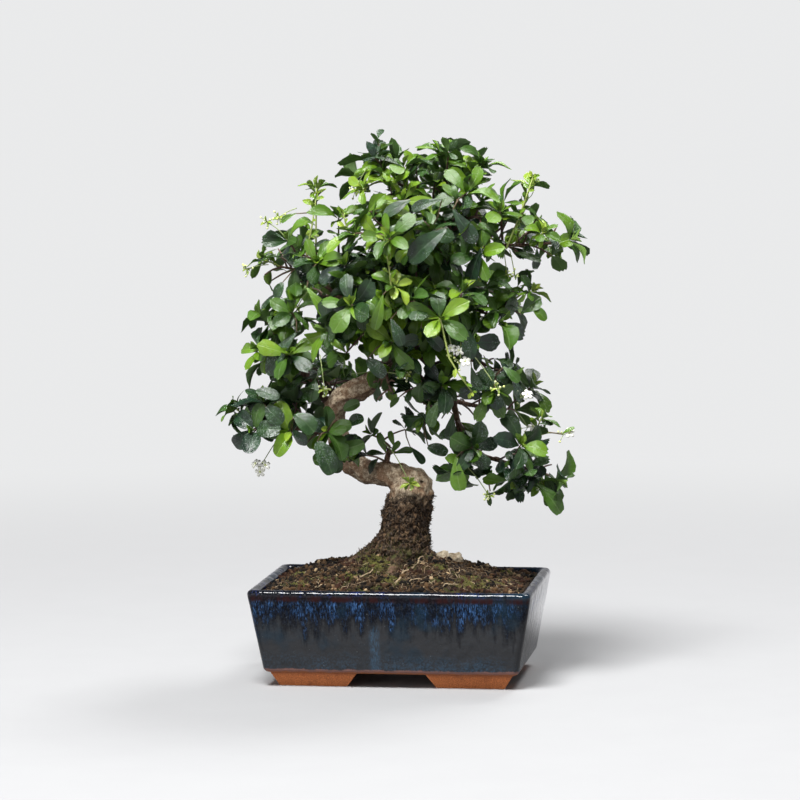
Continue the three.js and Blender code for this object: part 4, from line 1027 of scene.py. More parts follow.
def leaf_finish(name, underside):
    """The face or the underside of a leaf, coloured by its tone, with a rib and side veins."""
    made, tree, shader = finish(name, 0.6 if underside else 0.3)
    shader.inputs["Specular IOR Level"].default_value = 0.3 if underside else 0.6
    tone = recorded(tree, "tone")
    ramp = tree.nodes.new("ShaderNodeValToRGB")
    tree.links.new(tone, ramp.inputs[0])
    while len(ramp.color_ramp.elements) < len(LEAF_TONES):
        ramp.color_ramp.elements.new(0.5)
    for element, (at, colour) in zip(ramp.color_ramp.elements, LEAF_TONES):
        element.position = at
        element.color = (*colour, 1)
    colour = ramp.outputs[0]
    place = place_of(tree)
    blotch = grain(tree, place, 9, 4, 0.6)
    blotch_colour = tint(tree, tone, *LEAF_BLOTCH)
    colour = tint(tree, ease(tree, blotch, 0.35, 0.7, 0, 0.45), colour, blotch_colour)
    blade_place = node(tree, "UVMap", {}, uv_map="blade")
    parts = node(tree, "SeparateXYZ", {0: blade_place})
    across, along = parts, parts.node.outputs["Y"]
    from_rib = math_of(tree, "ABSOLUTE", math_of(tree, "SUBTRACT", across, 0.5))
    rib = ease(tree, from_rib, 0.05, 0.008)
    slant = math_of(tree, "SUBTRACT", along, product(tree, from_rib, 0.55))
    veins = math_of(tree, "ABSOLUTE", math_of(tree, "SINE", product(tree, slant, 24)))
    veins = ease(tree, veins, 0.2, 0.0)
    lines = math_of(tree, "MAXIMUM", rib, product(tree, veins, 0.4))
    colour = tint(tree, product(tree, lines, 0.3), colour, tint(tree, tone, *LEAF_VEINS))
    if underside:
        colour = tint(tree, 0.45, colour, UNDERSIDE_GREEN)
    else:
        dust = product(
            tree,
            ease(tree, grain(tree, place, 1.7, 6, 0.8), 0.5, 0.66, 0, 0.62),
            ease(tree, grain(tree, place, 22, 2), 0.46, 0.6),
            ease(tree, tone, 0.42, 0.18),
        )
        colour = tint(tree, dust, colour, LIME_DUST)
        gloss = math_of(tree, "ADD", ease(tree, blotch, 0.3, 0.7, 0.13, 0.26), product(tree, dust, 0.3))
        tree.links.new(gloss, shader.inputs["Roughness"])
    paint(tree, shader, colour)
    raised = relief(tree, shader, lines, 0.3 if underside else -0.28, 0.8)
    relief(tree, shader, grain(tree, place, 2.4, 5, 0.7), 0.75, 0.8, raised)
    glow = node(tree, "BsdfTranslucent", {"Color": tint(tree, 0.5, colour, LEAF_GLOW)})
    mixed = node(tree, "MixShader", {0: GLOW_SHARE, 1: shader.outputs[0], 2: glow})
    tree.links.new(mixed, tree.nodes["Material Output"].inputs["Surface"])
    return made


leaf_face = leaf_finish("leaf_face", False)
leaf_underside = leaf_finish("leaf_underside", True)

twig_finish, tree, shader = finish("twig_skin", 0.65)
tone = recorded(tree, "tone")
place = place_of(tree)
colour = tint(tree, ease(tree, tone, 0.3, 0.8), *TWIG_BROWN_TO_GREEN)
colour = tint(tree, ease(tree, grain(tree, place, 1.5, 4, 0.7), 0.45, 0.7, 0, 0.6), colour, TWIG_STAIN)
paint(tree, shader, colour)
relief(tree, shader, grain(tree, place, 0.9, 4), 0.25)
LEAF_MATERIALS = [leaf_face, leaf_underside, twig_finish]
TWIG_SIDE = 2

# Branch paths: the middle lines of the branches, each from inside the wood that it grows from, with its
# radius there and at its end. Twigs and leaves are placed along them.
BRANCHES = {
    "left_low": ([(-60, 5, 222), (-90, 0, 229), (-118, -5, 232), (-138, -9, 236)], (5.5, 1.9)),
    "left_mid": ([(-62, 4, 244), (-80, 0, 268), (-100, -4, 292), (-116, -7, 318)], (4.5, 1.7)),
    "left_high": (
        [(-2, -5, 296), (-26, -10, 324), (-54, -12, 352), (-84, -8, 374), (-110, -3, 378)],
        (4.5, 1.6),
    ),
    "front_low": ([(12, -2, 315), (2, -26, 328), (-12, -50, 340), (-22, -70, 347)], (3.8, 1.7)),
    "front_high": ([(40, 5, 370), (30, -20, 386), (18, -46, 398), (8, -66, 404)], (3.4, 1.6)),
    "front_right": ([(24, 1, 335), (36, -22, 334), (44, -44, 335), (48, -62, 336)], (3.2, 1.6)),
    "right_low": (
        [
            (8, -3, 308), (32, -6, 286), (50, -8, 256), (57, -8, 224),
            (78, -8, 205), (108, -10, 197), (130, -11, 191),
        ],
        (5, 1.8),
    ),
    "right_fork": ([(30, -6, 288), (56, -14, 296), (78, -20, 292), (90, -23, 286)], (2.8, 1.5)),
    "right_mid": ([(30, 3, 347), (52, 0, 341), (76, -3, 338), (102, -5, 345)], (3.5, 1.5)),
    "right_high": ([(43, 5, 388), (66, 2, 396), (96, -2, 397), (126, -5, 398), (142, -7, 400)], (3.7, 1.5)),
    "back_left": ([(-62, 4, 244), (-68, 28, 258), (-78, 52, 268), (-86, 72, 274)], (4.2, 1.7)),
    "back_right": ([(26, 2, 340), (36, 26, 346), (48, 50, 348), (58, 74, 350)], (3.6, 1.6)),
    "back_high": ([(42, 5, 378), (28, 28, 392), (10, 50, 400), (-4, 70, 404)], (3.4, 1.6)),
    "back_low": ([(50, -8, 256), (62, 14, 250), (76, 36, 246), (88, 56, 240)], (3.2, 1.6)),
    "back_bow": ([(-24, -9, 322), (-44, 16, 336), (-66, 42, 344), (-84, 64, 348)], (3.2, 1.6)),
    "apex_left": ([(45, 3, 427), (22, -3, 443), (0, -8, 455), (-14, -12, 462)], (2.8, 1.5)),
    "apex_right": ([(45, 2, 435), (58, 0, 446), (68, -1, 454)], (2.5, 1.5)),
    "apex_back": ([(45, 3, 420), (40, 22, 438), (34, 40, 448)], (2.6, 1.5)),
    "apex": ([(45, 3, 418), (45, 1, 440), (44, 0, 466)], (3.3, 1.9)),
    "elbow": ([(-14, 2, 190), (-12, -1, 203), (-10, -3, 211)], (4.2, 2.6)),
}


class Curve:
    """The smooth curve through points, the same one that the branches and twigs of the solids follow."""

    def __init__(self, points):
        self.points = [Vector(point) for point in points]

    def at(self, t):
        """The place at a share of the way along."""
        points, last = self.points, len(self.points) - 1
        i = min(int(last * t), last - 1)
        w = last * t - i
        before = points[i - 1] if i > 0 else 2 * points[0] - points[1]
        after = points[i + 2] if i + 2 <= last else 2 * points[last] - points[last - 1]
        start, end = points[i], points[i + 1]
        leave, arrive = (end - before) * 0.5, (after - start) * 0.5
        square = -3 * start + 3 * end - 2 * leave - arrive
        cube = 2 * start - 2 * end + leave + arrive
        return start + leave * w + square * w * w + cube * w * w * w

    def along(self, t):
        """The direction at a share of the way along."""
        return (self.at(min(1, t + 1e-4)) - self.at(max(0, t - 1e-4))).normalized()

    def length(self):
        """How long the curve is, measured in short steps."""
        steps = [self.at(i / 12) for i in range(13)]
        return sum((b - a).length for a, b in zip(steps, steps[1:]))


# Leafy sprays: side twigs that end in rosettes of leaves. The table gives the branch that carries each
# spray, how far along it, and the tips of its shoots. The first tip ends the main twig.
SPRAYS = {
    "leaves_left_low_1": ("left_low", 0.7, [(-128, -42, 231), (-122, -26, 254)]),
    "leaves_left_low_2": ("left_low", 0.42, [(-94, -45, 230), (-92, -22, 256)]),
    "leaves_left_low_3": ("left_low", 0.16, [(-60, -44, 231), (-52, -35, 212)]),
    "leaves_left_low_4": ("left_low", 0.55, [(-124, 36, 250), (-98, 44, 232)]),
    "leaves_left_mid_1": ("left_mid", 1, [(-126, -8, 333), (-92, -40, 338)]),
    "leaves_left_mid_2": ("left_mid", 0.6, [(-124, -30, 303), (-94, -45, 300)]),
    "leaves_left_mid_3": ("left_mid", 0.5, [(-112, 42, 312), (-130, 26, 290)]),
    "leaves_left_high_1": ("left_high", 0.78, [(-98, -26, 403), (-68, -46, 384)]),
    "leaves_left_high_2": ("left_high", 0.5, [(-50, -32, 424), (-40, -58, 382)]),
    "leaves_left_high_3": ("left_high", 0.7, [(-98, 42, 396)]),
    "leaves_front_1": ("front_low", 1, [(-28, -97, 349), (-52, -84, 326)]),
    "leaves_front_2": ("front_low", 0.5, [(-40, -60, 303), (4, -70, 314)]),
    "leaves_front_3": ("front_high", 1, [(6, -95, 408), (-28, -75, 412)]),
    "leaves_front_4": ("front_high", 0.55, [(38, -64, 412), (52, -50, 388)]),
    "leaves_front_5": ("front_right", 1, [(50, -88, 337), (24, -82, 352)]),
    "leaves_front_6": ("front_right", 0.6, [(72, -56, 314), (66, -60, 358)]),
    "leaves_right_low_1": ("right_low", 1, [(145, -12, 184)]),
    "leaves_right_low_2": ("right_low", 0.82, [(115, -36, 218), (106, -30, 186)]),
    "leaves_right_low_3": ("right_low", 0.5, [(72, -40, 216), (58, -30, 194)]),
    "leaves_right_low_4": ("right_low", 0.3, [(46, -46, 274), (28, -34, 244)]),
    "leaves_right_fork": ("right_fork", 1, [(104, -25, 283), (88, -50, 264)]),
    "leaves_right_mid": ("right_mid", 0.6, [(94, -27, 329), (84, -34, 362)]),
    "leaves_right_high_1": ("right_high", 1, [(158, -9, 402)]),
    "leaves_right_high_2": ("right_high", 0.5, [(98, -36, 429), (80, -44, 392)]),
    "leaves_right_high_3": ("right_high", 0.62, [(108, 44, 412), (134, 28, 396)]),
    "leaves_apex_1": ("apex_left", 1, [(-22, -15, 476), (-38, 4, 460)]),
    "leaves_apex_2": ("apex_left", 0.45, [(12, -48, 440), (10, -30, 470)]),
    "leaves_apex_3": ("apex", 1, [(38, 0, 483)]),
    "leaves_apex_4": ("apex_right", 1, [(77, 0, 468), (68, -42, 446)]),
    "leaves_apex_5": ("apex_back", 1, [(14, 66, 462), (46, 64, 454)]),
    "leaves_back_1": ("back_left", 1, [(-92, 98, 282), (-122, 76, 262)]),
    "leaves_back_2": ("back_left", 0.55, [(-48, 76, 264)]),
    "leaves_back_3": ("back_right", 1, [(62, 100, 356), (94, 84, 338)]),
    "leaves_back_4": ("back_right", 0.6, [(34, 80, 320)]),
    "leaves_back_5": ("back_high", 1, [(-10, 98, 408), (-44, 80, 420)]),
    "leaves_back_6": ("back_high", 0.55, [(52, 74, 412)]),
    "leaves_back_7": ("back_low", 1, [(96, 84, 238), (114, 56, 262)]),
    "leaves_back_8": ("back_bow", 1, [(-92, 90, 354), (-62, 96, 334)]),
    "leaves_elbow": ("elbow", 1, [(-24, -12, 224), (6, -8, 229)]),
    "shoot_left_low": ("left_low", 1, [(-150, -15, 247)]),
    "shoot_left_high": ("left_high", 1, [(-126, 0, 383)]),
    "shoot_left_tall": ("left_high", 0.68, [(-74, -10, 450)]),
    "shoot_front": ("front_low", 0.8, [(10, -92, 366)]),
    "shoot_apex": ("apex_left", 0.75, [(-26, -40, 450)]),
    "shoot_right_tall": ("right_high", 0.6, [(123, -14, 452)]),
    "shoot_right_high": ("right_high", 0.82, [(136, -36, 410)]),
    "shoot_right_mid": ("right_mid", 1, [(122, -8, 356)]),
    "shoot_right_low": ("right_low", 0.9, [(130, 0, 239)]),
}
TWIG_RADII = (1.5, 0.8)
SHOOT_RADII = (1.1, 0.7)
SHOOT_FORK = 0.4
CROWN_MIDDLE = Vector((10, 0, 320))
LEAF_LENGTH = 26
YOUNG_LEAF_LENGTH = 18
SMALLER = {"leaves_elbow": 0.75}
ROSETTE_LEAVES = 5
HUB_RADIUS = 1.4
TOOTHED_SHARE = 0.45
HALF_BLADE = 0.35
# How far the solids' leaves may be bent, in degrees, and shortened so that they keep clear of others.
BENDS = [(0, 1), (14, 1), (-14, 1), (28, 1), (-28, 1), (0, 0.75), (20, 0.75), (-20, 0.75), (0, 0.55)]
UP = Vector((0, 0, 1))
LIGHTWARD = Vector((-0.1, -0.6, 0))
LEAF_TURN = 2.4
OLD_LEAF_TONE = 0.29
YOUNG_LEAF_TONE = 0.68
FIRST_SEED = 12345
SEED_STEP = 104729
LOW_LEFT_X = -20
LOW_LEFT_Z = 262
LOW_LEFT_SPARED = 0.4
BARE_FOOT = 0.16
OLD_LEAF_SPACING = 5
YOUNG_LEAF_SPACING = 4.2
# Widths of leaves for each unit of their length.
OLD_LEAF_SHAPE = (0.45, 0.68)
YOUNG_LEAF_SHAPE = (0.4, 0.55)
SMALL_LEAF_SHAPE = (0.44, 0.64)
# Where leaves begin to be narrower, stand upright, or turn brighter or darker, and where they fully are.
NARROWER_Z = (340, 430)
UPRIGHT_Z = (405, 455)
BRIGHT_TOP_Z = (390, 450)
LEFT_X = (20, -70)
LEFT_BRIGHT_Z = (290, 350)
LEFT_DARK_Z = (285, 245)
# Painted light: the middle of the crown, seen from the front, and how far from it leaves are brightened
# against the crown's own shade.
PAINTED_LIGHT_MIDDLE = (30, 320)
PAINTED_LIGHT_REACH = 80
# The crown's dense core, as ellipsoids: middle and half sizes.
CROWN_CORE = [
    (Vector((4, 0, 345)), (78, 66, 62)),
    (Vector((24, 0, 425)), (58, 56, 42)),
    (Vector((10, -24, 272)), (42, 36, 34)),
    (Vector((-82, 0, 296)), (34, 46, 56)),
]
# The crown's open places, as circles seen from the front: across, up and radius.
CROWN_GAPS = [
    (62, 374, 15), (5, 239, 20), (-28, 218, 9), (-20, 238, 10), (-100, 222, 12), (-86, 292, 9),
    (92, 223, 12), (114, 230, 10), (75, 206, 7), (102, 318, 16), (90, 306, 9), (118, 286, 13),
    (100, 240, 12), (148, 418, 13), (64, 492, 11), (92, 472, 8), (-47, 478, 12), (-64, 430, 12),
    (-112, 408, 14), (-130, 372, 9), (-136, 347, 10), (-143, 318, 14), (-142, 277, 14), (-92, 219, 9),
    (-114, 209, 8), (-149, 214, 8), (147, 195, 9), (20, 246, 8), (100, 376, 7), (84, 376, 6),
    (85, 212, 7),
]
FRONT_TURN = math.radians(8.6)
CROWN_STEP = 6


class Draw:
    """A repeatable series of numbers between 0 and 1, the one that the solids' leaves were drawn by."""

    def __init__(self, seed):
        self.state = seed

    def __call__(self):
        self.state = self.state * 16807 % 2147483647
        return self.state / 2147483647


def corners_of(*names):
    """A tree of the corners of one or more solids, in millimetres, to look places up in."""
    solids = [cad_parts[name].data.vertices for name in names]
    places = {tuple(round(value / MM, 3) for value in corner.co) for solid in solids for corner in solid}
    found = KDTree(len(places))
    for index, place in enumerate(sorted(places)):
        found.insert(place, index)
    found.balance()
    return found


def branch_middle(path, at):
    """The middle of a branch at a share of the way along its path."""
    place = at * (len(path) - 1)
    index = min(int(place), len(path) - 2)
    return Vector(path[index]).lerp(Vector(path[index + 1]), place - index)


def spray_curves(row, corners):
    """The main twig of a spray, from where its solid starts on the bark, and its side shoots."""
    on, at, tips = row
    path = BRANCHES[on][0]
    middle = Vector(Curve(path).at(1)) if at == 1 else branch_middle(path, at)
    ring = [place for place, _, _ in corners.find_n(middle, ROSETTE_LEAVES)]
    seat = sum(ring, Vector()) / len(ring)
    tips = [Vector(tip) for tip in tips]
    main = Curve([seat, (seat + tips[0]) / 2 + UP * 0.08 * (tips[0] - seat).length, tips[0]])
    shoots = []
    for tip in tips[1:]:
        fork = main.at(SHOOT_FORK)
        shoots.append(Curve([fork, (fork + tip) / 2 + UP * 0.06 * (tip - fork).length, tip]))
    return [main, *shoots]


def rosette_axis(curve):
    """The way a rosette faces: on from its shoot, out from the crown and up to the light."""
    out = (curve.at(1) - CROWN_MIDDLE).normalized()
    return (curve.along(1) * 0.6 + out * 0.3 + UP * 0.45).normalized()


def leaf_frame(axis, spin, place, lift, twist):
    """The directions of a leaf at its place in a rosette: out of the hub, along its rib, and across it."""
    first = Vector((0.3, 1, 0.1)).cross(axis).normalized()
    second = axis.cross(first)
    angle = spin + place * 2 * math.pi / ROSETTE_LEAVES
    radial = first * math.cos(angle) + second * math.sin(angle)
    side = axis.cross(radial)
    along = radial * math.cos(lift) + axis * math.sin(lift)
    across = side * math.cos(twist) + along.cross(side) * math.sin(twist)
    return radial, along, across


def slender(z):
    """How narrow leaves are at a height: those high up in the light are narrower."""
    return 1 - 0.2 * rising(z, *NARROWER_Z)


def on_low_left(foot):
    """Whether a leaf is on the low left branches, where leaves are round and stand further apart."""
    return foot.x < LOW_LEFT_X and foot.z < LOW_LEFT_Z


def rosette(growth, draw, curve, size, corners, tone):
    """The leaves of one of the solids' rosettes, each found where its solid has its tip."""
    axis = rosette_axis(curve)
    spin = draw() * 2 * math.pi
    for place in range(ROSETTE_LEAVES):
        length = size * (0.8 + 0.4 * draw())
        width = length * (0.42 + 0.12 * draw())
        lift = 4 + 34 * draw()
        twist = math.radians((draw() - 0.5) * 30)
        arch = 0.05 + 0.12 * draw()
        toothed = draw() < TOOTHED_SHARE
        best = None
        for turn, scale in BENDS:
            radial, along, across = leaf_frame(axis, spin, place, math.radians(lift + turn), twist)
            foot = curve.at(1) + radial * HUB_RADIUS
            tip = foot + (along - along.cross(across) * arch) * length * scale
            tip += along.cross(across) * HALF_BLADE
            gap = corners.find(tip)[2]
            if gap < 0.5 and (best is None or gap < best[0]):
                best = (gap, foot, along, across, scale)
        if best:
            _, foot, along, across, scale = best
            kind = random.choice(("toothed", "spoon") if toothed else ("oval", "oval", "spoon"))
            low_left = on_low_left(foot)
            kind = "fine_round" if low_left else kind
            shade = leaf_tone(foot + along * length / 2, tone)
            wide = width * scale * (1.45 if low_left else random.uniform(1.05, 1.3) * slender(foot.z))
            roll = Matrix.Rotation(random.gauss(0, 0.4), 3, along)
            droop, fold = arch + random.uniform(0, 0.16), random.uniform(-0.15, 0.4)
            grow_leaf(growth, kind, foot, along, roll @ across, length * scale, wide, droop, shade, fold)


def free_leaf(growth, foot, stem_way, angle, lift, length, shape, tone, loose=0.4, reach=14):
    """A leaf out of the side of a stem, turned to the light. It is left out where the crown is open."""
    first, second = square_to(stem_way)
    radial = first * math.cos(angle) + second * math.sin(angle)
    sag = random.uniform(-0.1, 0.5) - 0.75 * rising(foot.z, *UPRIGHT_Z)
    along = (radial * math.cos(lift) + stem_way * math.sin(lift) - UP * sag).normalized()
    lean = UP + LIGHTWARD * loose + Vector([random.gauss(0, loose) for _ in range(3)]) + stem_way * 0.3
    across = lean.cross(along)
    if across.length < 0.2:
        across = second.cross(along)
    across.normalize()
    if any(outside_crown(foot + along * length * share, reach) for share in (0.3, 0.65, 1)):
        return
    low_left = on_low_left(foot)
    if low_left and random.random() < LOW_LEFT_SPARED:
        return
    kind = "fine_round" if low_left else random.choice(("oval", "spoon", "oval", "toothed", "pointed"))
    width = length * random.uniform(*shape) * (1.25 if low_left else slender(foot.z))
    fold = random.uniform(-0.15, 0.4)
    shade = leaf_tone(foot + along * length / 2, tone)
    droop = random.uniform(0.02, 0.3)
    grow_leaf(growth, kind, foot + radial * 0.5, along, across, length, width, droop, shade, fold)


def bud_leaves(growth, curve, size, tone):
    """The young leaves still folded upright in the middle of a rosette, and smaller leaves among its own."""
    axis = rosette_axis(curve)
    for place in range(random.choice((2, 3, 4))):
        lift = math.radians(random.uniform(40, 76))
        spin, twist = random.uniform(0, 6), random.uniform(-0.4, 0.4)
        _, along, across = leaf_frame(axis, spin, place * 1.7, lift, twist)
        length = size * random.uniform(0.3, 0.65)
        shade = min(1, tone + random.uniform(0.2, 0.5))
        foot = curve.at(1) + axis
        grow_leaf(growth, "pointed", foot, along, across, length, length * 0.42, -0.05, shade, 0.4)
    for place in range(random.choice((3, 4, 5))):
        lift = math.radians(random.uniform(-20, 40))
        foot = curve.at(1) - axis * random.uniform(0, 5)
        angle = place * 1.5 + random.random()
        length = size * random.uniform(0.5, 0.85)
        free_leaf(growth, foot, axis, angle, lift, length, SMALL_LEAF_SHAPE, tone)


def taper(radii, steps):
    """The radii of a strand that thins evenly from the first radius to the second."""
    return [radii[0] + (radii[1] - radii[0]) * k / steps for k in range(steps + 1)]


def dress_twig(growth, curve, radii, size, tone, young):
    """The twig itself and the single leaves along it, which stand out in turn all round it."""
    length = curve.length()
    steps = max(4, round(length / 7))
    points = [curve.at(i / steps) for i in range(steps + 1)]
    thick = [radius * random.uniform(0.85, 1.1) for radius in taper(radii, steps)]
    growth.add(*strand(points, thick, 6), 0.9 if young else 0.2, TWIG_SIDE)
    spacing = YOUNG_LEAF_SPACING if young else OLD_LEAF_SPACING
    angle = random.uniform(0, 6)
    for i in range(1, int(length / spacing)):
        t = min(0.97, i * spacing / length + random.uniform(-0.03, 0.03))
        if t < BARE_FOOT:
            continue
        angle += LEAF_TURN
        scale = random.uniform(0.65, 1.05) if young else random.uniform(0.5, 0.95)
        lift = math.radians(random.uniform(10, 60))
        shape = YOUNG_LEAF_SHAPE if young else OLD_LEAF_SHAPE
        loose, reach = (0.9, 20) if young else (0.4, 14)
        free_leaf(growth, curve.at(t), curve.along(t), angle, lift, size * scale, shape, tone, loose, reach)


def points_along(names):
    """A tree of places along all the edges of the solids, in millimetres."""
    places = []
    for name in names:
        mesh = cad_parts[name].data
        for edge in mesh.edges:
            start, end = (mesh.vertices[index].co / MM for index in edge.vertices)
            steps = 1 + int((end - start).length / CROWN_STEP)
            places += [start.lerp(end, k / steps) for k in range(steps)]
    found = KDTree(len(places))
    for index, place in enumerate(places):
        found.insert(place, index)
    found.balance()
    return found


crown_points = points_along(SPRAYS)


def outside_crown(place, reach=14):
    """Whether a place is off the sprays' solids and outside the crown's core, or in one of its gaps."""
    across = place.x * math.cos(FRONT_TURN) + place.y * math.sin(FRONT_TURN)
    if any(math.hypot(across - x, place.z - z) < radius for x, z, radius in CROWN_GAPS):
        return True
    if crown_points.find(place)[2] < reach:
        return False
    for middle, size in CROWN_CORE:
        if sum(((place[i] - middle[i]) / size[i]) ** 2 for i in range(3)) <= 1:
            return False
    return True


def leaf_tone(place, tone):
    """How bright a leaf is: new leaves stand in drifts, most of them high up and on the left, and leaves in
    the crown's shaded middle are brightened as painted light.
    """
    drift = noise.noise(place / 30) * 0.62 + random.gauss(0, 0.18)
    high = rising(place.z, *BRIGHT_TOP_Z)
    left = rising(place.x, *LEFT_X)
    left *= 0.08 * rising(place.z, *LEFT_BRIGHT_Z) - 0.2 * rising(place.z, *LEFT_DARK_Z)
    # Painted light: leaves near the crown's shaded middle are made brighter.
    middle = max(0, 1 - math.hypot(place.x - PAINTED_LIGHT_MIDDLE[0], place.z - PAINTED_LIGHT_MIDDLE[1]) / PAINTED_LIGHT_REACH)
    return min(0.86 if tone > 0.6 else 0.76, max(0, tone + drift + 0.1 * high + left + 0.16 * middle))


twig_places = []
random.seed(2024)
for index, (name, row) in enumerate(SPRAYS.items()):
    young = name.startswith("shoot")
    size = (YOUNG_LEAF_LENGTH if young else LEAF_LENGTH) * SMALLER.get(name, 1)
    draw = Draw(FIRST_SEED + SEED_STEP * (index + 1))
    corners = corners_of(name)
    growth = Growth()
    tone = YOUNG_LEAF_TONE if young else OLD_LEAF_TONE + random.uniform(-0.12, 0.18)
    for shoot, curve in enumerate(spray_curves(row, corners)):
        radii = SHOOT_RADII if shoot or young else TWIG_RADII
        twig_places += [curve.at(k / 8) for k in range(9)]
        dress_twig(growth, curve, radii, size, tone, young)
        rosette(growth, draw, curve, size, corners, tone)
        bud_leaves(growth, curve, size, tone)
    spray = growth.make(name + "_dressed", LEAF_MATERIALS)
    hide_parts(name)

# Side twigs: short leafy twigs all along the branches, the leader and a few hidden stems, which fill the
# crown between the sprays. Each has leaves in turn along it and a tuft at its end, and none reaches far
# from the sprays' solids. The leader is in the solids, and the hidden stems are made here.
SIDE_TWIG_SPACING = 6.5
SIDE_TWIG_LENGTHS = (9, 36)
SIDE_LEAF_SPACING = 5.5
SIDE_LEAF_SHAPE = (0.46, 0.7)
LEADER = (
    [(-18, -6, 278), (-2, -5, 296), (12, -2, 315), (27, 2, 340), (38, 5, 365), (44, 5, 393), (45, 3, 425)],
    (9, 3.6),
)
INNER_STEMS = {
    "bow_front": ([(-12, -8, 284), (-10, -26, 290), (-6, -44, 284), (0, -54, 268)], (2.4, 1.2)),
    "bow_hanging": ([(6, -4, 306), (16, -24, 302), (22, -42, 286), (24, -50, 262)], (2.4, 1.2)),
    "bow_behind": ([(4, -3, 304), (4, 20, 306), (-6, 40, 300), (-18, 52, 288)], (2.4, 1.2)),
    "leader_left": ([(24, 1, 336), (6, -8, 352), (-14, -14, 370), (-34, -16, 386)], (2.6, 1.2)),
    "leader_front": ([(36, 4, 362), (30, -14, 366), (20, -34, 368), (8, -50, 366)], (2.4, 1.2)),
    "leader_behind": ([(30, 3, 348), (10, 16, 362), (-12, 30, 374), (-30, 40, 380)], (2.6, 1.2)),
    "crown_middle": ([(44, 4, 400), (26, -10, 412), (6, -22, 420), (-12, -30, 424)], (2.4, 1.2)),
    "crown_right": ([(44, 4, 404), (58, -12, 416), (72, -26, 424), (84, -34, 422)], (2.4, 1.2)),
}

random.seed(58)
for branch, (path, radii) in [*BRANCHES.items(), ("leader", LEADER), *INNER_STEMS.items()]:
    curve = Curve(path)
    growth = Growth()
    if branch in INNER_STEMS:
        stem = [curve.at(k / 12) for k in range(13)]
        growth.add(*strand(stem, taper(radii, 12), 7), 0.0, TWIG_SIDE)
    angle = random.uniform(0, 6)
    count = int(curve.length() / SIDE_TWIG_SPACING)
    for i in range(1, count + 1):
        t = i / (count + 0.5)
        if t < BARE_FOOT:
            continue
        angle += LEAF_TURN + random.uniform(-0.3, 0.3)
        way = curve.along(t)
        first, second = square_to(way)
        out = first * math.cos(angle) + second * math.sin(angle)
        out = (out + way * 0.5 + UP * 0.3 + (curve.at(t) - CROWN_MIDDLE).normalized() * 0.35).normalized()
        bark_radius = radii[0] + (radii[1] - radii[0]) * t
        start = curve.at(t) + out * bark_radius * 0.5
        end = start + out * (bark_radius + random.uniform(*SIDE_TWIG_LENGTHS))
        if outside_crown(end) or outside_crown((start + end) / 2):
            end = start.lerp(end, 0.5)
        twig = Curve([start, (start + end) / 2 + UP * 1.5, end])
        length = twig.length()
        points = [twig.at(k / 4) for k in range(5)]
        growth.add(*strand(points, [1.1, 1.0, 0.9, 0.8, 0.6], 5), 0.15, TWIG_SIDE)
        tone = OLD_LEAF_TONE + random.uniform(-0.14, 0.22)
        turn = random.uniform(0, 6)
        for k in range(1, int(length / SIDE_LEAF_SPACING)):
            share = k * SIDE_LEAF_SPACING / length
            size = LEAF_LENGTH * random.uniform(0.5, 0.9)
            lift = math.radians(random.uniform(0, 50))
            foot, twig_way = twig.at(share), twig.along(share)
            free_leaf(growth, foot, twig_way, turn + k * LEAF_TURN, lift, size, SIDE_LEAF_SHAPE, tone)
        for k in range(random.choice((4, 5, 6))):
            lift = math.radians(random.uniform(-10, 60))
            size = LEAF_LENGTH * random.uniform(0.5, 1.15)
            free_leaf(growth, twig.at(1), twig.along(1), turn + k * 1.35, lift, size, SIDE_LEAF_SHAPE, tone)
    piece = growth.make("side_twigs_" + branch, LEAF_MATERIALS)

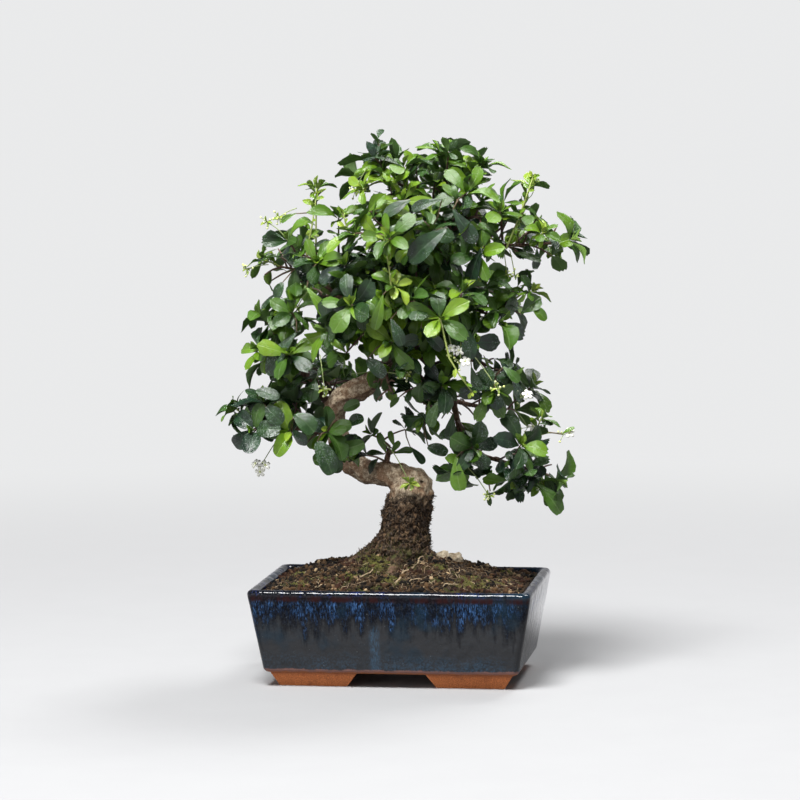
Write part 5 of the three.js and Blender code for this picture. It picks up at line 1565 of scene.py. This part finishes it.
# Front leaves: the largest old leaves, which stand out in front of the crown, a few that hang from it, and
# pale young shoots. Each row gives where one starts and ends as seen from the front and how far forward.
# A leaf's row goes on with its width for each unit of its length and its tone, a shoot's with how many
# leaves stand apart on it.
FRONT_LEAVES = [
    ((44, 418), (8, 386), -84, 0.5, 0.08),
    ((48, 434), (70, 402), -64, 0.48, 0.05),
    ((24, 424), (-8, 410), -86, 0.42, 0.12),
    ((40, 442), (10, 434), -74, 0.4, 0.1),
    ((12, 442), (-14, 428), -72, 0.5, 0.16),
    ((76, 400), (62, 364), -50, 0.5, 0.04),
    ((-92, 322), (-124, 282), -46, 0.42, 0.1),
    ((-84, 364), (-62, 334), -66, 0.38, 0.6),
    ((-14, 360), (-22, 326), -98, 0.38, 0.62),
    ((-8, 338), (4, 312), -92, 0.5, 0.1),
    ((-64, 322), (-44, 316), -78, 0.7, 0.12),
    ((-30, 300), (-12, 284), -78, 0.62, 0.1),
    ((18, 328), (40, 308), -78, 0.5, 0.06),
    ((60, 326), (64, 298), -74, 0.62, 0.08),
    ((-132, 268), (-108, 262), -48, 0.6, 0.14),
    ((-76, 224), (-60, 192), -56, 0.66, 0.16),
    ((-96, 248), (-76, 232), -60, 0.85, 0.2),
    ((-122, 254), (-106, 238), -50, 0.85, 0.12),
    ((50, 210), (54, 176), -48, 0.55, 0.58),
    ((122, 184), (148, 155), -24, 0.46, 0.42),
    ((24, 216), (44, 210), -30, 0.7, 0.14),
    ((34, 224), (52, 234), -34, 0.6, 0.2),
    ((48, 248), (44, 222), -40, 0.5, 0.16),
    ((-48, 236), (-33, 244), -40, 0.85, 0.16),
    ((-52, 250), (-36, 258), -44, 0.7, 0.35),
    ((-40, 228), (-46, 214), -36, 0.8, 0.12),
    ((64, 292), (72, 268), -60, 0.5, 0.14),
    ((104, 392), (130, 384), -20, 0.36, 0.3),
    ((118, 346), (134, 330), -16, 0.5, 0.5),
    ((146, 226), (158, 234), -16, 0.34, 0.6),
    ((-106, 366), (-112, 350), -30, 0.7, 0.14),
    ((-92, 428), (-108, 420), -20, 0.4, 0.5),
    ((36, 262), (26, 236), -56, 0.5, 0.3),
    ((92, 292), (108, 278), -58, 0.55, 0.35),
    ((-10, 276), (-4, 256), -34, 0.5, 0.75),
    ((-13, 207), (-20, 227), -9, 0.42, 0.5),
    ((-9, 206), (0, 219), -9, 0.5, 0.45),
    ((-7, 207), (12, 211), -12, 0.48, 0.3),
    ((-14, 206), (-32, 208), -9, 0.5, 0.15),
    ((8, 214), (23, 198), -10, 0.45, 0.12),
    ((-5, 212), (-10, 228), -7, 0.42, 0.55),
]

PALE_SHOOTS = [
    ((-6, 356), (-13, 408), -96, 6),
    ((97, 396), (121, 460), -34, 7),
    ((44, 302), (64, 272), -94, 3),
    ((-84, 392), (-75, 440), -30, 5),
    ((-44, 402), (-50, 430), -62, 4),
]
PALE_SHOOT_RADII = [1.0, 0.95, 0.8, 0.6]
PALE_LEAF_LENGTHS = (7, 12)


def seen_from_front(across, z, forward):
    """The place of something seen from the front that far across and that far up."""
    return Vector(((across - forward * math.sin(FRONT_TURN)) / math.cos(FRONT_TURN), forward, z))


random.seed(7)
growth = Growth()
for (across_from, z_from), (across_to, z_to), forward, ratio, tone in FRONT_LEAVES:
    foot = seen_from_front(across_from, z_from, forward)
    tip = seen_from_front(across_to, z_to, forward) - Vector((0, 3, 0))
    along = (tip - foot).normalized()
    across = Vector((random.uniform(-0.4, 0.5), -1, random.uniform(0.3, 1.1))).cross(along).normalized()
    seat = min(twig_places, key=lambda place: (place - foot).length)
    stem = [seat, (seat + foot) / 2 - along * 1.5, foot + along * 1.5]
    growth.add(*strand(stem, [0.8, 0.65, 0.5], 5), 0.4, TWIG_SIDE)
    length = (tip - foot).length
    kind = random.choice(("toothed", "spoon", "oval")) if ratio < 0.6 else "round"
    arch, fold = random.uniform(0.02, 0.16), random.uniform(0, 0.25)
    grow_leaf(growth, "fine_" + kind, foot, along, across, length, length * ratio, arch, tone, fold)
for start, end, forward, count in PALE_SHOOTS:
    start, end = seen_from_front(*start, forward), seen_from_front(*end, forward)
    seat = min(twig_places, key=lambda place: (place - start).length)
    way = (end - start).normalized()
    first, second = square_to(way)
    stem = [seat, start, start.lerp(end, 0.5) + first, end]
    growth.add(*strand(stem, PALE_SHOOT_RADII, 6), 1.0, TWIG_SIDE)
    for k in range(count + 4):
        share = min(1, 0.3 + 0.7 * k / count)
        radial = first * math.cos(LEAF_TURN * k) + second * math.sin(LEAF_TURN * k)
        along = (radial + way * random.uniform(0.5, 1.2)).normalized()
        across = (UP * 0.5 + Vector((0, -1, 0))).cross(along).normalized()
        length = random.uniform(*PALE_LEAF_LENGTHS) * (1.1 - 0.4 * share)
        shade = random.uniform(0.66, 0.98)
        kind = random.choice(("pointed", "spoon"))
        foot = start.lerp(end, share)
        grow_leaf(growth, kind, foot, along, across, length, length * 0.45, 0.08, shade, 0.3)
front_leaves = growth.make("front_leaves", LEAF_MATERIALS)

# Flower heads: thin stalks that part into stalklets, each with an open white floret or a bud.
# The table gives the spray that carries each head, how far along its twig, where the head is, and how
# many florets and buds it has. BRACTS gives how many small leaves stand round the buds, and their length.
FLOWERS = {
    "flowers_left_low": ("leaves_left_low_2", 0.5, (-124, -38, 197), 3, 0),
    "flowers_left_high": ("leaves_left_high_1", 0.7, (-118, -22, 420), 0, 3),
    "flowers_elbow": ("leaves_elbow", 0.55, (13, -30, 182), 0, 3),
    "flowers_front_right": ("leaves_front_6", 0.7, (68, -88, 298), 1, 2),
    "flowers_right_low": ("shoot_right_low", 0.5, (152, -14, 226), 1, 2),
}
FEW_BRACTS = (4, 6.5)
BRACT_SIDE = 2
BRACTS = {"flowers_elbow": (9, 11)}
STALK_RADIUS = 0.45
HEAD_SPREAD = 6
PETALS = 5
FLORET_RADIUS = 5
BUD_SIZE = 1.15
PETAL_ROWS = (0.0, 0.4, 0.78, 1.0)
PETAL_WIDTHS = (0.2, 0.55, 0.7, 0.35)
PETAL_LIFTS = (0.0, 0.12, 0.1, -0.05)
PETAL_WHITE_TO_GREEN = ((0.95, 0.95, 0.88), (0.6, 0.68, 0.2))
PETAL_STAIN = (0.62, 0.6, 0.36)
STALK_GREEN = ((0.16, 0.24, 0.07), (0.34, 0.4, 0.14))

petal = begin(bpy.ops.mesh.primitive_grid_add, x_subdivisions=2, y_subdivisions=3, size=1)
shape = bmesh.from_edit_mesh(petal.data)
for corner in shape.verts:
    row = round((corner.co.y + 0.5) * 3)
    corner.co.x *= PETAL_WIDTHS[row]
    corner.co.y = PETAL_ROWS[row] + (0.04 if row == 3 and abs(corner.co.x) < 0.01 else 0)
    corner.co.z = PETAL_LIFTS[row] - 0.1 * abs(corner.co.x)
bmesh.update_edit_mesh(petal.data)
close(petal, "petal")
modify(petal, "SOLIDIFY", thickness=0.07, offset=0)
petal_points, petal_faces = lift_off(petal)

petal_finish, tree, shader = finish("white_petal", 0.6)
tone = recorded(tree, "tone")
colour = tint(tree, ease(tree, tone, 0.0, 1.0), *PETAL_WHITE_TO_GREEN)
colour = tint(tree, ease(tree, grain(tree, place_of(tree), 1.2, 3), 0.4, 0.8, 0, 0.2), colour, PETAL_STAIN)
paint(tree, shader, colour)
stalk_finish, tree, shader = finish("flower_stalk", 0.6)
colour = tint(tree, grain(tree, place_of(tree), 4, 2), *STALK_GREEN)
paint(tree, shader, colour)


def floret(growth, middle, axis, radius):
    """An open floret: five petals round a small yellowish eye."""
    first, second = square_to(axis)
    turn = Matrix((first, second, axis)).transposed()
    for k in range(PETALS):
        spin = Matrix.Rotation(2 * math.pi * k / PETALS, 3, "Z")
        points = [middle + turn @ (spin @ point) * radius for point in petal_points]
        growth.add(points, petal_faces, random.uniform(0, 0.25))
    eye = [middle - axis * 0.2, middle + axis * 0.8, middle + axis * 1.5]
    growth.add(*strand(eye, [0.7, 0.8, 0.2], 6), 0.8)


def bud(growth, start, end, size):
    """A bud at the end of its stalklet, round and a little pointed."""
    way = (end - start).normalized()
    middle = start.lerp(end, 0.6)
    growth.add(*strand([start, middle, end], [0.4, 0.32, 0.4], 4), 1, 1)
    swell = [(0, 0.4), (0.35, 1.0), (0.75, 1.1), (1.2, 0.75), (1.6, 0.15)]
    points = [end + way * share * size for share, _ in swell]
    growth.add(*strand(points, [radius * size for _, radius in swell], 6), random.uniform(0.6, 1))


def flower_head(growth, seat, head, opened, buds, sag, bracts=FEW_BRACTS):
    """A stalk from its twig to its head, the florets and buds round the head, and small leaves round buds."""
    middle = (seat + head) / 2 + UP * sag * (head - seat).length
    stalk = Curve([seat, middle, head])
    points = [stalk.at(i / 8) for i in range(9)]
    growth.add(*strand(points, [STALK_RADIUS] * 9, 5), 1, 1)
    total = opened + buds
    for i in range(total):
        angle = (i + 0.3 * random.random()) / total * 2 * math.pi
        away = Vector((math.cos(angle), -0.4 + 0.3 * random.random(), math.sin(angle)))
        end = head + away * HEAD_SPREAD * random.uniform(0.75, 1.05)
        if i < opened:
            growth.add(*strand([head, head.lerp(end, 0.5), end], [0.35, 0.3, 0.4], 4), 1, 1)
            floret(growth, end, (away * 0.6 + Vector((-0.2, -1, 0.6))).normalized(), FLORET_RADIUS)
        else:
            bud(growth, head, end, BUD_SIZE)
    for _ in range(2 if opened else 6):
        away = Vector([random.gauss(0, 1) for _ in range(3)]).normalized()
        bud(growth, head, head + away * random.uniform(1.5, 4.2), random.uniform(0.75, BUD_SIZE))
    for k in range(0 if opened else bracts[0]):
        along = Vector((math.cos(k * 1.7), -0.5, math.sin(k * 1.7) - 0.2)).normalized()
        across = square_to(along)[k % 2]
        length = bracts[1] * random.uniform(0.6, 1.1)
        width, shade = length * 0.42, random.uniform(0.9, 1)
        grow_leaf(growth, "pointed", head, along, across, length, width, 0.05, shade, 0.3, BRACT_SIDE)


FLOWER_MATERIALS = [petal_finish, stalk_finish, leaf_face, leaf_underside]
for name, (on, at, head, opened, buds) in FLOWERS.items():
    carrier = spray_curves(SPRAYS[on], corners_of(on))[0]
    growth = Growth()
    flower_head(growth, carrier.at(at), Vector(head), opened, buds, 0.1, BRACTS.get(name, FEW_BRACTS))
    piece = growth.make(name + "_dressed", FLOWER_MATERIALS)
    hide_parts(name)

# Small flower and bud clusters that sit close among the leaves, on stalks from twigs nearby. Each row
# gives where the stalk starts, where the head is, and how many florets and buds it has.
SMALL_HEADS = [
    ((-66, -46, 300), (-60, -60, 270), 0, 3),
    ((52, -66, 330), (60, -78, 305), 2, 2),
    ((62, -58, 316), (98, -66, 273), 0, 4),
    ((-38, -44, 283), (14, -62, 284), 0, 4),
    ((66, -40, 200), (86, -34, 172), 0, 2),
    ((-22, -40, 470), (-34, -36, 448), 0, 3),
    ((-120, -6, 380), (-140, -10, 376), 0, 3),
    ((98, -16, 396), (102, -20, 372), 0, 1),
    ((104, -16, 394), (109, -20, 371), 0, 1),
    ((104, -26, 283), (116, -34, 262), 1, 2),
    ((-92, -12, 432), (-108, -16, 424), 0, 3),
    ((20, 90, 408), (30, 104, 392), 1, 2),
    ((-100, 88, 350), (-112, 96, 334), 0, 3),
    ((96, 80, 240), (108, 84, 222), 1, 1),
]
growth = Growth()
for seat, head, opened, buds in SMALL_HEADS:
    flower_head(growth, Vector(seat), Vector(head), opened, buds, 0.05)
small_heads = growth.make("small_flower_heads", FLOWER_MATERIALS)

# Studio: a plain pale floor that fades into a pale surround, with large soft lights above and beside.
# The floor is brighter to mirrored light, which gives the pot's right side its silvery sheen. Each fade
# is how far from the middle the floor starts to pass into the glow, and where it has.
SURROUND = (0.82, 0.825, 0.83)
SIDE_FILL = (0.52, 0.52, 0.53)
OVERHEAD = (0.2, 0.2, 0.21)
MIRRORED_FLOOR = (0.85, 0.85, 0.87)
FLOOR_RADIUS_M = 12
FLOOR_TONES = ((0.31, 0.311, 0.315), (0.325, 0.326, 0.33))
FLOOR_BOUNCE = (0.16, 0.16, 0.163)
SEEN_FADE_M = (0.35, 1.8)
FILL_FADE_M = (0.24, 0.65)
MIRRORED_FADE_M = (0.2, 0.42)

bpy.ops.object.select_all(action="DESELECT")
bpy.ops.mesh.primitive_circle_add(vertices=96, radius=FLOOR_RADIUS_M, fill_type="NGON")
floor = bpy.context.active_object
floor.name = "floor"
floor_finish, tree, shader = finish("pale_floor", 0.75)
reach = node(tree, "VectorMath", {0: node(tree, "TexCoord", {}, "Object")}, "Value", operation="LENGTH")
seen = node(tree, "LightPath", {}, "Is Camera Ray")
paper = tint(tree, grain(tree, place_of(tree), 60, 3), *FLOOR_TONES)
paint(tree, shader, tint(tree, seen, FLOOR_BOUNCE, paper))
mirrored = node(tree, "LightPath", {}, "Is Glossy Ray")
others = tint(tree, mirrored, SIDE_FILL, MIRRORED_FLOOR)
far_glow = node(tree, "Emission", {"Color": tint(tree, seen, others, SURROUND), "Strength": 1})
fades = {0: mirrored, 2: ease(tree, reach, *FILL_FADE_M), 3: ease(tree, reach, *MIRRORED_FADE_M)}
fades = {0: seen, 2: node(tree, "Mix", fades), 3: ease(tree, reach, *SEEN_FADE_M)}
mixed = node(tree, "MixShader", {0: node(tree, "Mix", fades), 1: shader.outputs[0], 2: far_glow})
tree.links.new(mixed, tree.nodes["Material Output"].inputs["Surface"])
floor.data.materials.append(floor_finish)

world = bpy.data.worlds.new("surround")
world.use_nodes = True
tree = world.node_tree
climb = node(tree, "SeparateXYZ", {0: node(tree, "TexCoord", {}, "Generated")}, "Z")
fill = tint(tree, ease(tree, climb, 0.05, 0.5), SIDE_FILL, OVERHEAD)
seen = node(tree, "LightPath", {}, "Is Camera Ray")
tree.links.new(tint(tree, seen, fill, SURROUND), tree.nodes["Background"].inputs["Color"])
bpy.context.scene.world = world
bpy.context.scene.view_settings.view_transform = "Standard"


def soft_light(name, place, size, power):
    """A square soft light that faces the middle of the tree."""
    data = bpy.data.lights.new(name, "AREA")
    data.size = size
    data.energy = power
    lamp = bpy.data.objects.new(name, data)
    lamp.location = place
    lamp.rotation_euler = (Vector((0, 0, 0.25)) - Vector(place)).to_track_quat("-Z", "Y").to_euler()
    bpy.context.scene.collection.objects.link(lamp)


soft_light("key_above", (-0.45, -1.75, 3.5), 1.4, 340)
soft_light("fill_front_left", (-1.7, -2.3, 0.9), 1.4, 12)
soft_light("rim_behind", (0.9, 1.6, 3.0), 1.1, 80)

# Camera: the photograph's viewpoint, a little right of the front and a little above. Its place was
# fitted to the pot's rim, body and feet in the photograph.
VIEW_ELEVATION = 5.45
VIEW_DISTANCE_M = 3.263
VIEW_TARGET_M = Vector((0, 0, 0.2553))
VIEW_FIELD = 12.84
VIEW_ROLL = -0.49

elevation = math.radians(VIEW_ELEVATION)
back = Vector((
    math.sin(FRONT_TURN) * math.cos(elevation),
    -math.cos(FRONT_TURN) * math.cos(elevation),
    math.sin(elevation),
))
camera_data = bpy.data.cameras.new("camera")
camera_data.angle = math.radians(VIEW_FIELD)
camera_data.clip_end = 100
camera = bpy.data.objects.new("camera", camera_data)
camera.location = VIEW_TARGET_M + back * VIEW_DISTANCE_M
looking = (-back).to_track_quat("-Z", "Y").to_matrix() @ Matrix.Rotation(math.radians(VIEW_ROLL), 3, "Z")
camera.rotation_euler = looking.to_euler()
bpy.context.scene.collection.objects.link(camera)
bpy.context.scene.camera = camera
